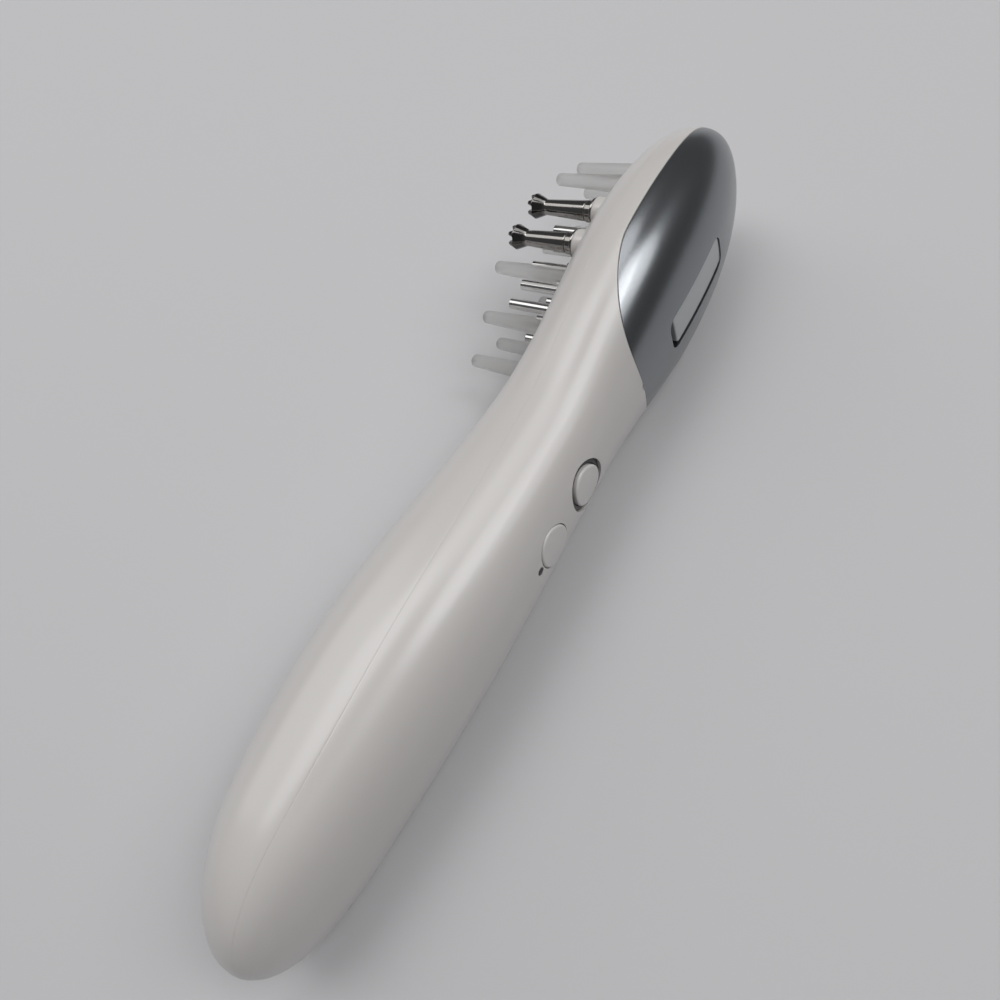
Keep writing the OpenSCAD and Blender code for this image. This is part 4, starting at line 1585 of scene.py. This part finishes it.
@dataclass(frozen=True)
class Works:
    """The inner parts that keep the CAD model's meshes, each with its finish."""

    finishes: tuple[tuple[Finish, tuple[str, ...]], ...] = (
        (BOARD_GREEN, ("main_board", "laser_board", "switch_board")),
        (RIBBON_AMBER, ("board_ribbon",)),
        (BATTERY_WRAP, ("battery",)),
        (CONTACT_BRASS, ("battery_contacts", "laser_diodes")),
        (LAMP_RED, ("indicator_led", "tooth_leds")),
        (PLAIN_STEEL, (
            "switch_screws", "shell_screws", "board_screws", "vibration_motor",
            "eccentric_weight", "slide_switch",
        )),
        (DARK_PLASTIC_AND_SHADE, (
            "power_stem", "mode_stem", "power_switch", "mode_switch", "slide_lever",
            "battery_cradle", "charging_jack", "motor_cradle",
        )),
    )

    def build(self) -> None:
        """Dresses the nodes that stay."""
        for finish, names in self.finishes:
            for name in names:
                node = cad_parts[name]
                node.data.materials.clear()
                node.data.materials.append(finish.make())
                LOG.info("%s: CAD node, %s", name, finish.name)


# ---------------------------------------------------------------- table, light and camera


@dataclass(frozen=True)
class Softbox:
    """A round soft lamp at a bearing from the comb, with a given radiance."""

    name: str
    azimuth: float
    elevation: float
    radiance: float
    width: float
    distance: float = 1.3

    def build(self) -> None:
        """Puts the lamp up, turned to the comb, with pi times area times radiance as power."""
        data = bpy.data.lights.new(self.name, "AREA")
        data.shape = "ELLIPSE"
        data.size = data.size_y = self.width
        data.energy = math.pi * math.pi / 4.0 * self.width * self.width * self.radiance
        round_z, rise = math.radians(self.azimuth), math.radians(self.elevation)
        flat = math.cos(rise)
        way = Vector((flat * math.cos(round_z), flat * math.sin(round_z), math.sin(rise)))
        lamp = put(self.name, data)
        lamp.location = way * self.distance
        lamp.rotation_euler = way.to_track_quat("Z", "Y").to_euler()


@dataclass(frozen=True)
class Studio:
    """The table, the lamps, the surroundings and the camera."""

    table_half: float = 4.0
    table_color: Triple = (0.590, 0.587, 0.598)
    table_roughness: float = 0.75
    table_shine: float = 0.2
    room: Triple = (0.95, 0.97, 1.0)
    room_light: float = 0.1
    lens: float = 27.0
    sensor: float = 36.0
    clips: Pair = (0.005, 20.0)
    eye: Triple = (76.86, 51.22, 136.84)
    right: Triple = (0.8285, 0.4575, -0.3230)
    down: Triple = (0.2737, -0.8339, -0.4792)
    forward: Triple = (-0.4886, 0.3086, -0.8161)
    lamps: tuple[Softbox, ...] = (
        Softbox("overhead", azimuth=40.0, elevation=70.0, radiance=4.1, width=0.6),
        Softbox("overhead_low", azimuth=40.0, elevation=50.0, radiance=2.7, width=0.6),
        Softbox("overhead_right", azimuth=0.0, elevation=72.0, radiance=0.9, width=0.6),
        Softbox("window_high", azimuth=180.0, elevation=62.0, radiance=3.5, width=0.7),
        Softbox("window_far", azimuth=120.0, elevation=62.0, radiance=2.0, width=0.7),
        Softbox("window_low", azimuth=180.0, elevation=32.0, radiance=1.4, width=0.8),
    )

    def table(self) -> None:
        """A plain pale table."""
        h = self.table_half
        corners = [(-h, -h, 0.0), (h, -h, 0.0), (h, h, 0.0), (-h, h, 0.0)]
        mesh = bpy.data.meshes.new("table")
        mesh.from_pydata(corners, [], [(0, 1, 2, 3)])
        material = bpy.data.materials.new("table_grey")
        values: Inputs = {
            "Base Color": (*self.table_color, 1.0),
            "Roughness": self.table_roughness,
            "Specular IOR Level": self.table_shine,
        }
        Graph(material).end("ShaderNodeBsdfPrincipled", values, "ShaderNodeOutputMaterial")
        mesh.materials.append(material)
        put("table", mesh)

    def surroundings(self) -> None:
        """A dim room all round."""
        world = bpy.data.worlds.new("room")
        bpy.context.scene.world = world
        values: Inputs = {"Color": (*self.room, 1.0), "Strength": self.room_light}
        Graph(world).end("ShaderNodeBackground", values, "ShaderNodeOutputWorld")

    def camera(self) -> None:
        """The photograph's camera, worked out in the comb's axes and laid down with it."""
        data = bpy.data.cameras.new("camera")
        data.lens, data.sensor_width = self.lens, self.sensor
        data.clip_start, data.clip_end = self.clips
        axes = POSE.turned() @ np.array([self.right, self.down, self.forward]).T
        axes[:, 1:] *= -1.0
        place = np.eye(4)
        place[:3, :3], place[:3, 3] = axes, POSE.lay(np.array([self.eye]))[0]
        seat = put("camera", data)
        seat.matrix_world = Matrix(place.tolist())
        bpy.context.scene.camera = seat

    def build(self) -> None:
        """Sets the table, the light and the camera up."""
        self.table()
        self.surroundings()
        for lamp in self.lamps:
            lamp.build()
        self.camera()
        bpy.context.scene.view_settings.view_transform = "Standard"


def main() -> None:
    """Builds every assembly in order, then the studio round them."""
    logging.basicConfig(level=logging.INFO, format="%(name)s %(message)s")
    for assembly in (Casing(), Buttons(), SlideSwitch(), CombFace(), Works(), Studio()):
        LOG.info("building %s", type(assembly).__name__)
        assembly.build()


if __name__ == "__main__":
    main()
